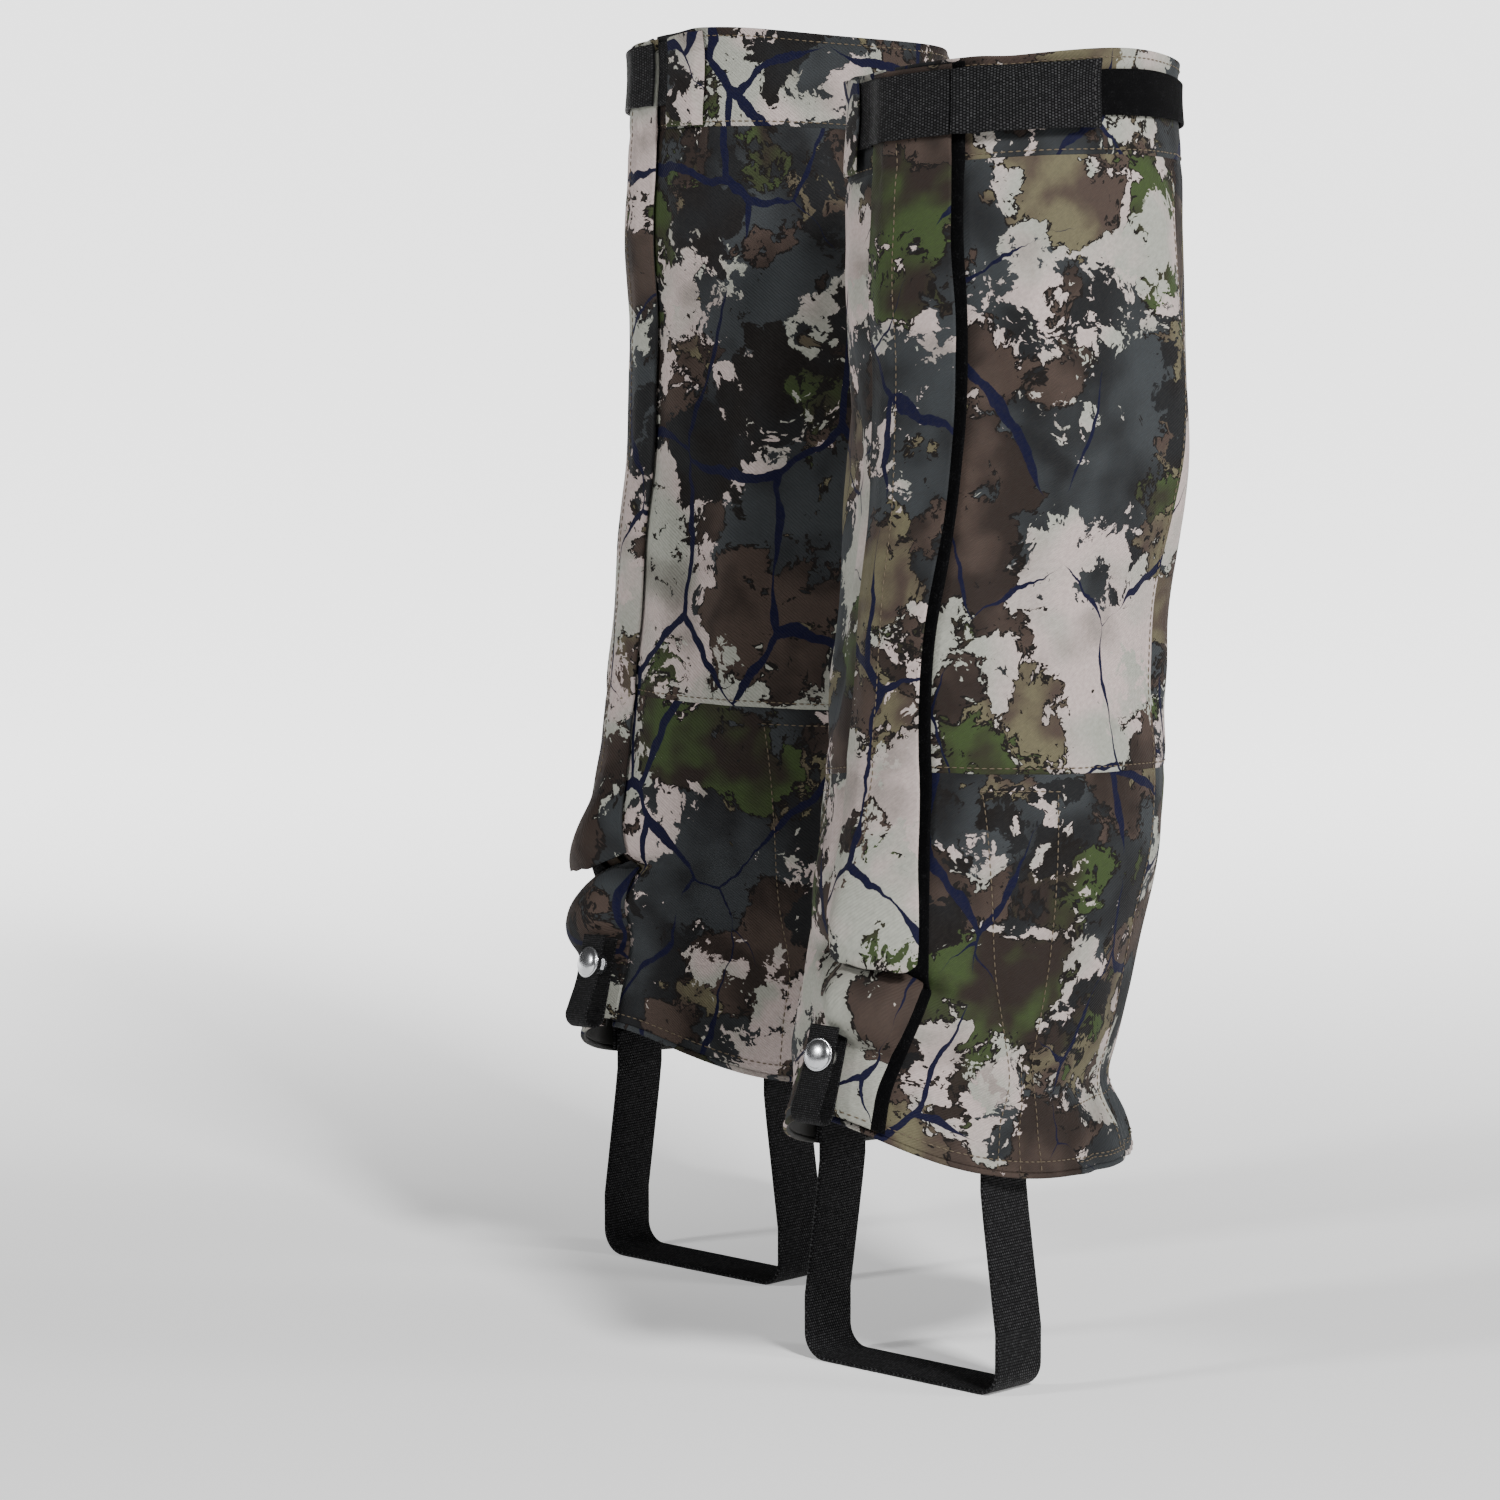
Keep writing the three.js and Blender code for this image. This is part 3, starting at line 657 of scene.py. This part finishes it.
def nickel(name):
    """Bright plated cap with faint turning marks."""
    paint = Paint(name, roughness=0.22, metallic=1.0)
    place = paint.node("ShaderNodeTexCoord", output=3)
    marks = paint.noise(place, 900, 3, 0.6)
    paint.set("Base Color", paint.mix(marks * 0.4, rgb(0.66, 0.67, 0.69), rgb(0.36, 0.36, 0.37)))
    paint.set("Roughness", marks * 0.22 + 0.13)
    paint.raise_by(marks, 0.0001, 0.3)
    return paint.material


MATERIALS = {
    "webbing": webbing("black_webbing"),
    "ribbon": webbing("grosgrain_ribbon", pitch=1.1, tone=0.035),
    "lining": lining("proofed_lining"),
    "pile": fuzzy("loop_pile"),
    "hooks": fuzzy("hook_tape", grain=2200, tone=0.03),
    "elastic": webbing("covered_elastic", pitch=1.0, tone=0.04),
    "tan_thread": thread_paint("tan_thread", rgb(0.12, 0.09, 0.055)),
    "black_thread": thread_paint("black_thread", rgb(0.02, 0.02, 0.022)),
    "nickel": nickel("nickel_plate"),
}

# ---- Stitches --------------------------------------------------------------------------------------------


def stitch_tree():
    """Geometry Nodes: stitches of a given length and thickness along every line of the mesh."""
    tree = bpy.data.node_groups.new("stitch_line", "GeometryNodeTree")
    face = tree.interface
    face.new_socket("Geometry", in_out="INPUT", socket_type="NodeSocketGeometry")
    names = {}
    for name, value in (("Pitch", 0.0028), ("Stitch length", 0.0021), ("Thread radius", 0.00028)):
        socket = face.new_socket(name, in_out="INPUT", socket_type="NodeSocketFloat")
        socket.default_value = value
        names[name] = socket.identifier
    socket = face.new_socket("Material", in_out="INPUT", socket_type="NodeSocketMaterial")
    names["Material"] = socket.identifier
    face.new_socket("Geometry", in_out="OUTPUT", socket_type="NodeSocketGeometry")

    def add(kind, inputs, **settings):
        node = tree.nodes.new(kind)
        for key, value in settings.items():
            setattr(node, key, value)
        for key, value in inputs.items():
            if isinstance(value, bpy.types.NodeSocket):
                tree.links.new(value, node.inputs[key])
            else:
                node.inputs[key].default_value = value
        return node

    given = tree.nodes.new("NodeGroupInput").outputs
    line = add("GeometryNodeMeshToCurve", {"Mesh": given["Geometry"]}).outputs[0]
    even = add("GeometryNodeResampleCurve", {"Curve": line, "Length": given["Pitch"]}, mode="LENGTH")
    body = add("GeometryNodeMeshUVSphere", {"Segments": 6, "Rings": 4, "Radius": 1.0}).outputs[0]
    half = add("ShaderNodeMath", {0: given["Stitch length"], 1: 0.5}, operation="MULTIPLY").outputs[0]
    size = add("ShaderNodeCombineXYZ", {0: given["Thread radius"], 1: given["Thread radius"], 2: half})
    way = add("GeometryNodeInputTangent", {}).outputs[0]
    turn = add("FunctionNodeAlignEulerToVector", {"Vector": way}, axis="Z").outputs[0]
    placed = add("GeometryNodeInstanceOnPoints", {
        "Points": even.outputs[0], "Instance": body, "Rotation": turn, "Scale": size.outputs[0]})
    real = add("GeometryNodeRealizeInstances", {"Geometry": placed.outputs[0]})
    done = add("GeometryNodeSetMaterial", {"Geometry": real.outputs[0], "Material": given["Material"]})
    tree.links.new(done.outputs[0], tree.nodes.new("NodeGroupOutput").inputs[0])
    return tree, names


STITCHES, STITCH_INPUTS = stitch_tree()


def stitching(name, lines, thread="tan_thread", pitch=0.0028):
    """One object of all the stitches along these lines of points."""
    verts = np.concatenate(lines)
    edges, start = [], 0
    for line in lines:
        edges += [(start + i, start + i + 1) for i in range(len(line) - 1)]
        start += len(line)
    mesh = bpy.data.meshes.new(name)
    mesh.from_pydata([tuple(v) for v in verts], edges, [])
    guide = bpy.data.objects.new(name, mesh)
    bpy.context.collection.objects.link(guide)
    modifier = guide.modifiers.new("stitches", "NODES")
    modifier.node_group = STITCHES
    modifier[STITCH_INPUTS["Pitch"]] = pitch
    modifier[STITCH_INPUTS["Stitch length"]] = pitch * 0.74
    modifier[STITCH_INPUTS["Thread radius"]] = 0.00027
    modifier[STITCH_INPUTS["Material"]] = MATERIALS[thread]
    graph = bpy.context.evaluated_depsgraph_get()
    result = bpy.data.meshes.new_from_object(guide.evaluated_get(graph))
    guide.modifiers.clear()
    guide.data = result
    for polygon in result.polygons:
        polygon.use_smooth = True
    return guide


# ---- One gaiter ------------------------------------------------------------------------------------------


def hinge(name):
    """The joint's point and axis at rest."""
    joint = next(joint for joint in frame["joints"] if joint["name"] == name)
    return Vector(joint["pos_m"]), Vector(joint["axis"]).normalized()


def bending(side, joint, parent, child, toward, near, far):
    """Where cloth would bend over a hinge: the parent and the child, and the points near and far from the
    hinge, in mm.
    """
    point, axis = hinge(f"{side}_{joint}")
    way = Vector(toward) - point
    way = (way - axis * way.dot(axis)).normalized()
    return f"{side}_{parent}", f"{side}_{child}", point + way * near * MM, point + way * far * MM


def finish_piece(obj, body, slot, material, *nodes):
    obj.data.materials.clear()
    obj.data.materials.append(material)
    if slot == "camo_cloth" and "outer_faces" in obj:
        line_with(obj, MATERIALS["lining"])
    if isinstance(body, str):
        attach(obj, body)
    else:
        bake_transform(obj)
    if nodes:
        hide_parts(*nodes)
    return obj


def sheet_size(shape, round_leg, low, high):
    phi = np.linspace(*round_leg, 180)
    girths = [np.linalg.norm(np.diff(shape.place(shape.smooth(phi, np.full(180, h))), axis=0), axis=1).sum()
              for h in np.linspace(low, high, 9)]
    width, height = max(girths), (high - low) * MM
    area = min(np.mean(girths) * height, width * height)
    round(area * 0.998, 5)


def shell(side, shape):
    body = f"{side}_shell"
    whole = (LATERAL_EDGE, 360 + MEDIAL_EDGE)
    lateral = (LATERAL_EDGE, BACK_SEAM + 0.25)
    medial = (BACK_SEAM - 0.2, 360 + MEDIAL_EDGE)
    inner = -CLOTH / 2
    seed = 0.0 if side == "left" else 0.7
    pieces = [
        ("cuff", whole, CUFF_SEAM, RIM, (1.3, 0.4)),
        ("upper_lateral_panel", lateral, KNEE_SEAM, CUFF_SEAM + 0.5, (0.0, 0.0)),
        ("upper_medial_panel", medial, KNEE_SEAM, CUFF_SEAM + 0.5, (0.45, 0.21)),
        ("lower_lateral_panel", lateral, HEM, KNEE_SEAM + 0.5, (0.8, 0.63)),
        ("lower_medial_panel", medial, HEM, KNEE_SEAM + 0.5, (1.9, 0.27)),
    ]
    for name, round_leg, low, high, cut_from in pieces:
        panel = fabric(shape, f"{side}_{name}_cloth", round_leg, low, high, inner, CLOTH)
        print_from = (cut_from[0] + seed, cut_from[1] + seed)
        camo = camouflage(f"camo_{side}_{name}", print_from)
        finish_piece(panel, body, "camo_cloth", camo, f"{side}_{name}")
        sheet_size(shape, round_leg, low, high)
    roll = fabric(shape, f"{side}_hem_edge", whole, HEM - 2.1, HEM + 0.2, -1.1, 2.2, step=2, turned=0.9,
                  height_step=0.5)
    finish_piece(roll, body, "camo_cloth", camouflage(f"camo_{side}_hem", (0.8 + seed, 0.63 + seed)),
                 f"{side}_hem_roll")


def anchor_middle(shape, h, forward=0.0):
    """Where the underfoot strap runs up inside the shell, as degrees towards the outside of the leg."""
    _, deep, shift = section_at(h)
    turned = np.degrees(np.arccos((UNDERFOOT_FORWARD / MM + forward - shift) / deep))
    return turned - TURN[shape.side] * ease((h - 125) / 95)


def inside_pieces(side, shape):
    body = f"{side}_shell"
    front = lambda h: anchor_middle(shape, h, STRAP_WIDTH / 2)
    rear = lambda h: anchor_middle(shape, h, -STRAP_WIDTH / 2)
    twist = lambda h: 2 * TURN[side] * ease((h - 125) / 95)
    for where, edges in (
        ("lateral", (front, rear)),
        ("medial", (lambda h: 360 - twist(h) - rear(h), lambda h: 360 - twist(h) - front(h))),
    ):
        anchor = fabric(shape, f"{side}_{where}_anchor_webbing", edges, HEM - 2, 222,
                        INSIDE - WEBBING, WEBBING)
        finish_piece(anchor, body, "webbing", MATERIALS["webbing"], f"{side}_strap_anchor_{where}")
    elastic = fabric(shape, f"{side}_ankle_elastic_band", (104, 256), HEM + 3, HEM + 23, INSIDE - 1.6, 1.6)
    finish_piece(elastic, body, "elastic", MATERIALS["elastic"], f"{side}_ankle_elastic")


def finish_node(node, material):
    obj = frame["nodes"][node]
    for index in range(len(obj.material_slots)):
        obj.material_slots[index].material = material


def outside_tapes(side, shape):
    body = f"{side}_shell"
    edge = lambda h: TAPE_TO - slack_edge(h) - 0.7 * toe_slant(h)
    front = fabric(shape, f"{side}_front_loop_pile", (TAPE_FROM, edge), HEM + 1, RIM - 1, ON_SHELL,
                   TAPE + 0.3, step=1.6)
    finish_piece(front, body, "hook_and_loop", MATERIALS["pile"], f"{side}_front_loop_tape")
    low, high = strap_level(LOOP_TAPE_WIDTH)
    cuff = fabric(shape, f"{side}_cuff_loop_pile", (39, 160), low, high, ON_SHELL, TAPE + 0.3, step=1.6)
    finish_piece(cuff, body, "hook_and_loop", MATERIALS["pile"], f"{side}_cuff_loop_tape")
    low, high = strap_level(STRAP_WIDTH)
    root = fabric(shape, f"{side}_top_strap_sewn_end", (-24, -4), low, high, ON_SHELL, WEBBING)
    finish_piece(root, body, "webbing", MATERIALS["webbing"], f"{side}_top_strap_root")
    facing_in = lambda phi: ON_SHELL + (WEBBING + GAP) * ease((phi - FACING_FROM) / 3.5)
    facing = fabric(shape, f"{side}_cuff_facing", (FACING_FROM, -12), CUFF_SEAM + 1, RIM - 1, facing_in,
                    0.9, step=1.5)
    camo = camouflage(f"camo_{side}_facing", (2.2, 1.1))
    finish_piece(facing, body, "camo_cloth", camo, f"{side}_strap_facing")


def flap_pieces(side, shape):
    body = f"{side}_storm_flap"
    corner = lambda phi: crease_at(phi) + 4 * ease((phi - 26) / 6) ** 2
    offset = 0.0 if side == "left" else 1.4
    free = lambda h: FLAP_FREE - slack_edge(h) * ease((STRAP_LEVEL - 14 - h) / 20)
    overhang = lambda phi, h: OVERHANG * ease((phi + 2) / 12) * ease((crease_at(phi) + 26 - h) / 26)
    flap = fabric(shape, f"{side}_storm_flap_cloth", (FLAP_ROOT, free), corner, RIM - 1, flap_in, CLOTH,
                  step=1.0, height_step=1.8, lift=overhang)
    toward = shape.at(FLAP_FREE, 320.0, OVER_TAPES)
    bend = bending(side, "storm_flap_open", "shell", "storm_flap", toward, 4, 14)
    finish_piece(flap, bend, "camo_cloth", camouflage(f"camo_{side}_flap", (2.6 + offset, 0.9)),
                 f"{side}_storm_flap")
    sheet_size(shape, (FLAP_ROOT, FLAP_FREE), CREASE, RIM)
    hooks = fabric(shape, f"{side}_flap_hooks", (HOOKS_FROM, lambda h: HOOKS_TO - slack_edge(h)),
                   lambda phi: corner(phi) + 3, RIM - 4, HOOK_IN, TAPE)
    finish_piece(hooks, body, "hook_and_loop", MATERIALS["hooks"], f"{side}_flap_hook_tape")
    low, high = strap_level(STRAP_WIDTH)
    bridge = fabric(shape, f"{side}_top_strap_over_flap", (FLAP_ROOT, FLAP_FREE), low, high,
                    lambda phi: strap_in(np.maximum(phi, FLAP_ROOT)) + 0.8 * bump(phi, 8, 7), WEBBING,
                    step=1.0, height_step=1.6)
    finish_piece(bridge, bend, "webbing", MATERIALS["webbing"], f"{side}_top_strap_bridge")


def tail_pieces(side, shape):
    body = f"{side}_strap_tail"
    low, high = strap_level(STRAP_WIDTH)
    tail = fabric(shape, f"{side}_top_strap_free_end", (FLAP_FREE + 0.2, STRAP_END), low, high, strap_in,
                  WEBBING, step=1.4)
    toward = shape.at(60, STRAP_LEVEL, OVER_TAPES)
    bend = bending(side, "strap_peel", "storm_flap", "strap_tail", toward, -1, 6)
    finish_piece(tail, bend, "webbing", MATERIALS["webbing"], f"{side}_top_strap_tail")
    low, high = strap_level(LOOP_TAPE_WIDTH)
    patch = fabric(shape, f"{side}_strap_hooks", (42, STRAP_END - 2), low, high, HOOK_IN, TAPE)
    finish_piece(patch, body, "hook_and_loop", MATERIALS["hooks"], f"{side}_strap_hook_patch")


def toe_pieces(side, shape):
    body = f"{side}_toe_flap"
    top = lambda phi: crease_at(phi) - 3 - 5 * ease((phi - 1) / 12)
    slant = lambda h: FLAP_FREE + 1 - toe_slant(h)
    bulge = lambda phi, h: 3.2 * bump(h, crease_at(phi) - 27, 12) * ease((phi + 2) / 10)
    flap = fabric(shape, f"{side}_toe_flap_cloth", (FLAP_ROOT, slant), HEM + 1, top, flap_in, CLOTH,
                  step=1.6, lift=bulge)
    offset = 0.0 if side == "left" else 1.1
    toward = shape.at(FLAP_FREE, 120.0, OVER_TAPES)
    bend = bending(side, "toe_flap_open", "shell", "toe_flap", toward, 2, 12)
    finish_piece(flap, bend, "camo_cloth", camouflage(f"camo_{side}_toe_flap", (3.3 + offset, 1.7)),
                 f"{side}_toe_flap")
    sheet_size(shape, (FLAP_ROOT, FLAP_FREE), HEM, CREASE)
    below_top = lambda phi: top(phi) - 3
    hooks = fabric(shape, f"{side}_toe_flap_hooks", (HOOKS_FROM, lambda h: HOOKS_TO - toe_slant(h)),
                   HEM + 5, below_top, HOOK_IN, TAPE)
    finish_piece(hooks, body, "hook_and_loop", MATERIALS["hooks"], f"{side}_toe_hook_tape")


def frame_of(shape):
    """The lace loop's own axes: origin at the ribbon's upper end, then out, up and across."""
    off = float(flap_in(np.array(5.0))) + CLOTH + 0.85
    front = ((1 + math.cos(math.radians(5))) / 2) ** 4 * (HEM_FRONT - HEM) / (CREASE - HEM)
    before_raising = lambda z: (z - front * CREASE) / (1 - front)
    slack, shape.slack = shape.slack, None
    high, low, beside = (shape.at(phi, before_raising(z), off, world=False)
                         for phi, z in ((5, 137), (5, HEM_FRONT + 2), (6, 137)))
    shape.slack = slack
    up = Vector(high - low).normalized()
    out = Vector(beside - high).cross(up).normalized()
    return Vector(high), out, up, out.cross(up)


def in_lace_frame(shape, points):
    """From (out, up, across) millimetres at the lace loop to the row frame."""
    origin, out, up, across = (np.array(v) for v in frame_of(shape))
    points = np.asarray(points, float)
    return shape.place(origin + points[:, :1] * out + points[:, 1:2] * up + points[:, 2:] * across)


def strip(name, path, width, thick, to_world, mirror):
    """Flat tape with soft edges along a path of (x, y) points, laid out along its own length. mirror is
    negative where to_world turns a right hand into a left one, so that the faces still point outwards."""
    path = np.array(path, float)
    pieces = [np.linspace(a, b, max(2, int(np.linalg.norm(b - a) / 1.2) + 1))[:-1]
              for a, b in zip(path[:-1], path[1:])]
    path = np.concatenate([*pieces, path[-1:]])
    along = np.gradient(path, axis=0)
    along /= np.linalg.norm(along, axis=1, keepdims=True)
    side = np.stack([-along[:, 1], along[:, 0]], 1)
    length = np.concatenate([[0], np.cumsum(np.linalg.norm(np.diff(path, axis=0), axis=1))])
    half, soft = width / 2, thick * 0.5
    across = [-half, -half + soft * 0.3, -half + soft, -half / 3]
    across += [-z for z in across[::-1]]
    round_edge = [0.0, 0.7, 1.0, 1.0, 1.0, 1.0, 0.7, 0.0]
    section = [(z, r * thick / 2) for z, r in zip(across, round_edge)]
    section += [(z, -r * thick / 2) for z, r in list(zip(across, round_edge))[-2:0:-1]]
    m = len(section)
    points = [np.concatenate([path + side * r, np.full((len(path), 1), z)], 1) for z, r in section]
    verts = np.stack(points, 1).reshape(-1, 3)
    number = lambda i, j: i * m + j % m
    faces = [(number(i, j), number(i, j + 1), number(i + 1, j + 1), number(i + 1, j))
             for i in range(len(path) - 1) for j in range(m)]
    faces += [tuple(range(m))[::-1], tuple(number(len(path) - 1, j) for j in range(m))]
    if mirror < 0:
        faces = [face[::-1] for face in faces]
    obj = mesh_object(name, to_world(verts), faces)
    lay_out(obj, np.stack([np.repeat(length, m), np.tile([z for z, _ in section], len(path))], 1) * MM)
    return obj


def dome(name, shape, radius, out, up):
    """The stud's cap: a rolled rim, a shallow groove and a polished dome, turned about its own axis."""
    profile = [(0, 0), (radius - 0.5, 0), (radius - 0.1, 0.15), (radius, 0.45), (radius - 0.12, 0.75),
               (radius - 0.45, 0.86), (radius - 0.75, 0.84)]
    rise = np.radians(np.linspace(12, 90, 9))
    profile += [((radius - 0.9) * math.cos(a), 0.75 + 2.0 * math.sin(a)) for a in rise]
    turns = np.arange(40) * 2 * math.pi / 40
    verts = [(out + profile[0][1], up, 0)]
    for r, height in profile[1:-1]:
        verts += [(out + height, up + r * math.cos(a), r * math.sin(a)) for a in turns]
    verts.append((out + profile[-1][1], up, 0))
    n, rings, last = len(turns), len(profile) - 2, len(verts) - 1
    faces = [(0, 1 + (k + 1) % n, 1 + k) for k in range(n)]
    for ring in range(rings - 1):
        faces += [(1 + ring * n + k, 1 + ring * n + (k + 1) % n, 1 + (ring + 1) * n + (k + 1) % n,
                   1 + (ring + 1) * n + k) for k in range(n)]
    faces += [(last, 1 + (rings - 1) * n + k, 1 + (rings - 1) * n + (k + 1) % n) for k in range(n)]
    if shape.mirror < 0:
        faces = [face[::-1] for face in faces]
    obj = mesh_object(name, in_lace_frame(shape, verts), faces)
    for polygon in obj.data.polygons:
        polygon.use_smooth = True
    return obj


def lace_loop(side, shape):
    width, thick, length, bow, stud_down, cap = 13, 1.1, 30, 4.4, 11, 6.25
    middle = thick / 2
    outer = thick + 5.2 + middle
    to_world = lambda points: in_lace_frame(shape, points)
    leg = [(middle, 0), (middle, -length)]
    sewn = strip(f"{side}_lace_ribbon_sewn", leg, width, thick, to_world, shape.mirror)
    finish_piece(sewn, f"{side}_toe_flap", "ribbon", MATERIALS["ribbon"], f"{side}_lace_ribbon_inner")
    centre, start = middle + bow, -length - 1.5
    turn = np.linspace(math.pi, 2 * math.pi, 22)
    path = [(middle, -length)] + [(centre + bow * math.cos(a), start + bow * math.sin(a)) for a in turn]
    path += [(outer + 0.5, -stud_down - cap - 4), (outer, -stud_down - cap), (outer, 0)]
    loop = strip(f"{side}_lace_ribbon_loop", path, width, thick, to_world, shape.mirror)
    point, axis = hinge(f"{side}_lace_loop_open")
    out = Vector(in_lace_frame(shape, [(10, 0, 0)])[0] - in_lace_frame(shape, [(0, 0, 0)])[0]).normalized()
    bend = (f"{side}_toe_flap", f"{side}_lace_loop", point - out * 0.0024, point + out * 0.0016)
    finish_piece(loop, bend, "ribbon", MATERIALS["ribbon"], f"{side}_lace_ribbon_outer")
    face = dome(f"{side}_stud_cap_dome", shape, cap, outer + middle + 0.05, -stud_down)
    finish_piece(face, f"{side}_lace_loop", "nickel", MATERIALS["nickel"], f"{side}_press_stud_cap")
    finish_node(f"{side}_press_stud", MATERIALS["nickel"])
    finish_node(f"{side}_press_socket", MATERIALS["nickel"])


def underfoot(side, shape):
    """The strap under the instep, from inside the hem down each side and flat under the boot."""
    half = WEBBING / 2
    mouth = 41.4 - half
    corner = [(39 + 9.2 * math.cos(a), 10 + 9.2 * math.sin(a)) for a in np.radians(np.linspace(0, -90, 10))]
    leg = [(mouth, 92), (mouth, 77), (mouth + 1.4, 66), (48.2, 24), *corner]
    path = leg + [(-x, z) for x, z in leg[::-1]]
    centre = AXIS[side]

    def to_world(points):
        x, z, forward = np.asarray(points, float).T
        return np.stack([centre[0] + x * MM, centre[1] - UNDERFOOT_FORWARD + forward * MM, z * MM], 1)

    webbing_strap = strip(f"{side}_underfoot_webbing", path, STRAP_WIDTH, WEBBING, to_world, -1)
    bend = (f"{side}_shell", f"{side}_underfoot", Vector((*centre, 0.094)), Vector((*centre, 0.080)))
    finish_piece(webbing_strap, bend, "webbing", MATERIALS["webbing"], f"{side}_underfoot_strap")


def seams(side, shape):
    """All the visible stitching, one object for each body."""
    proud = SHELL_OUT + 0.12
    on_flap = OVER_TAPES + CLOTH + 0.1

    def ring(h, first=LATERAL_EDGE + 1, last=359, off=proud):
        phi = np.arange(first, last, 1.5)
        return shape.at(phi, np.full_like(phi, h), off)

    def rise(phi, low, high, off=proud):
        h = np.arange(low, high, 3.0)
        return shape.at(np.full_like(h, phi) if np.isscalar(phi) else phi(h), h, off)

    shell_lines = [
        ring(CUFF_SEAM + 2.2), ring(KNEE_SEAM + 2.4), ring(HEM + 4.5), ring(RIM - 3),
        rise(BACK_SEAM - 1.8, HEM + 6, CUFF_SEAM - 2),
        ring(HEM + 26, 100, 260), ring(HEM + 3.2, 100, 260),
    ]
    for forward, top in ((11, 222), (0, 122), (-11, 222)):
        narrow = lambda h: forward * (1 - 0.45 * bump(h, 122, 28))
        lateral = lambda h: anchor_middle(shape, h, narrow(h))
        medial = lambda h: 360 - 2 * TURN[side] * ease((h - 125) / 95) - lateral(h)
        shell_lines += [rise(lateral, HEM + 2, top), rise(medial, HEM + 2, top)]
    for turned_in in (False, True):
        ends = [anchor_middle(shape, np.array(221.0), forward) for forward in (11, -11)]
        phi = np.linspace(*ends, 9)
        phi = 360 - 2 * TURN[side] - phi if turned_in else phi
        shell_lines.append(shape.at(phi, np.full(9, 221.0), proud))
    for body, name, lines, thread in (
        (f"{side}_shell", "shell_stitching", shell_lines, "tan_thread"),
        (f"{side}_storm_flap", "flap_stitching", [
            shape.at(np.full(92, 12.0), np.linspace(CREASE + 26, STRAP_LEVEL - 14, 92), on_flap),
        ], "tan_thread"),
        (f"{side}_toe_flap", "toe_flap_stitching", [
            shape.at(np.linspace(11, FLAP_FREE - 10, 12), np.full(12, HEM + 4.0), on_flap),
        ], "tan_thread"),
        (f"{side}_strap_tail", "strap_tail_stitching", [
            shape.at(np.full(10, STRAP_END - 2.5), np.linspace(STRAP_LEVEL - 11, STRAP_LEVEL + 11, 10),
                     OVER_TAPES + WEBBING + 0.1),
        ], "black_thread"),
    ):
        obj = stitching(f"{side}_{name}", lines, thread)
        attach(obj, body)
        "camo_cloth" if thread == "tan_thread" else "webbing"


def gaiter(side):
    shape = Shape(side)
    shape.slack = Slack(shape)
    shell(side, shape)
    inside_pieces(side, shape)
    outside_tapes(side, shape)
    flap_pieces(side, shape)
    tail_pieces(side, shape)
    toe_pieces(side, shape)
    lace_loop(side, shape)
    underfoot(side, shape)
    seams(side, shape)


for side in ("left", "right"):
    gaiter(side)

# ---- Studio ----------------------------------------------------------------------------------------------

REACH = 60.0  # half the width of the floor
LOOKED_AT = Vector((0, 0, 0.27))


def studio():
    """A pale floor with a painted glow, dim round the pair and brighter away from the camera, towards the
    back, that lights the pair from below as a lamp would; and three soft lights.
    """
    corners = [(-REACH, -REACH, 0), (REACH, -REACH, 0), (REACH, REACH, 0), (-REACH, REACH, 0)]
    floor = mesh_object("floor", corners, [(0, 1, 2, 3)])
    pale = Paint("pale_floor", roughness=0.95, specular=0.05, Emission_Strength=1.0)
    place = pale.node("ShaderNodeTexCoord", output=3)
    turned = pale.mapped(place, turn=math.radians(-VIEW_AZIMUTH))
    # Painted light: the floor's emission steps from a dim glow round the pair to a bright glow beyond it,
    # away from the camera.
    glow = pale.node("ShaderNodeSeparateXYZ", {0: turned}, output=1).step(-0.1, 1.5)
    grain = pale.noise(place, 3.0, 2)
    pale.set("Base Color", pale.mix(grain * 0.2, rgb(0.90, 0.90, 0.90), rgb(0.86, 0.86, 0.86)))
    pale.set("Emission Color", pale.mix(glow, rgb(0.22, 0.22, 0.22), rgb(2.6, 2.6, 2.6)))
    floor.data.materials.append(pale.material)
    floor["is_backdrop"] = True
    world = bpy.data.worlds.new("studio")
    world.use_nodes = True
    world.node_tree.nodes["Background"].inputs[0].default_value = (1, 1, 1, 1)
    world.node_tree.nodes["Background"].inputs[1].default_value = 0.07
    bpy.context.scene.world = world
    a = math.radians(VIEW_AZIMUTH)
    for name, right, near, up, power, size in (
        ("key_light", 1.15, 2.2, 2.0, 115, 0.45),
        ("side_light", 2.6, 0.8, 1.2, 26, 0.7),
        ("far_side_light", -2.3, 1.2, 1.5, 40, 0.4),
    ):
        data = bpy.data.lights.new(name, "AREA")
        data.energy = power
        data.size = size
        light = bpy.data.objects.new(name, data)
        across, along = Vector((math.cos(a), math.sin(a), 0)), Vector((math.sin(a), -math.cos(a), 0))
        light.location = across * right + along * near + Vector((0, 0, up))
        light.rotation_euler = (light.location - LOOKED_AT).to_track_quat("Z", "Y").to_euler()
        bpy.context.collection.objects.link(light)


studio()

sizes = {"cad": CAD_BOX, "visual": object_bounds()}
{key: [list(map(float, corner)) for corner in box] for key, box in sizes.items()}
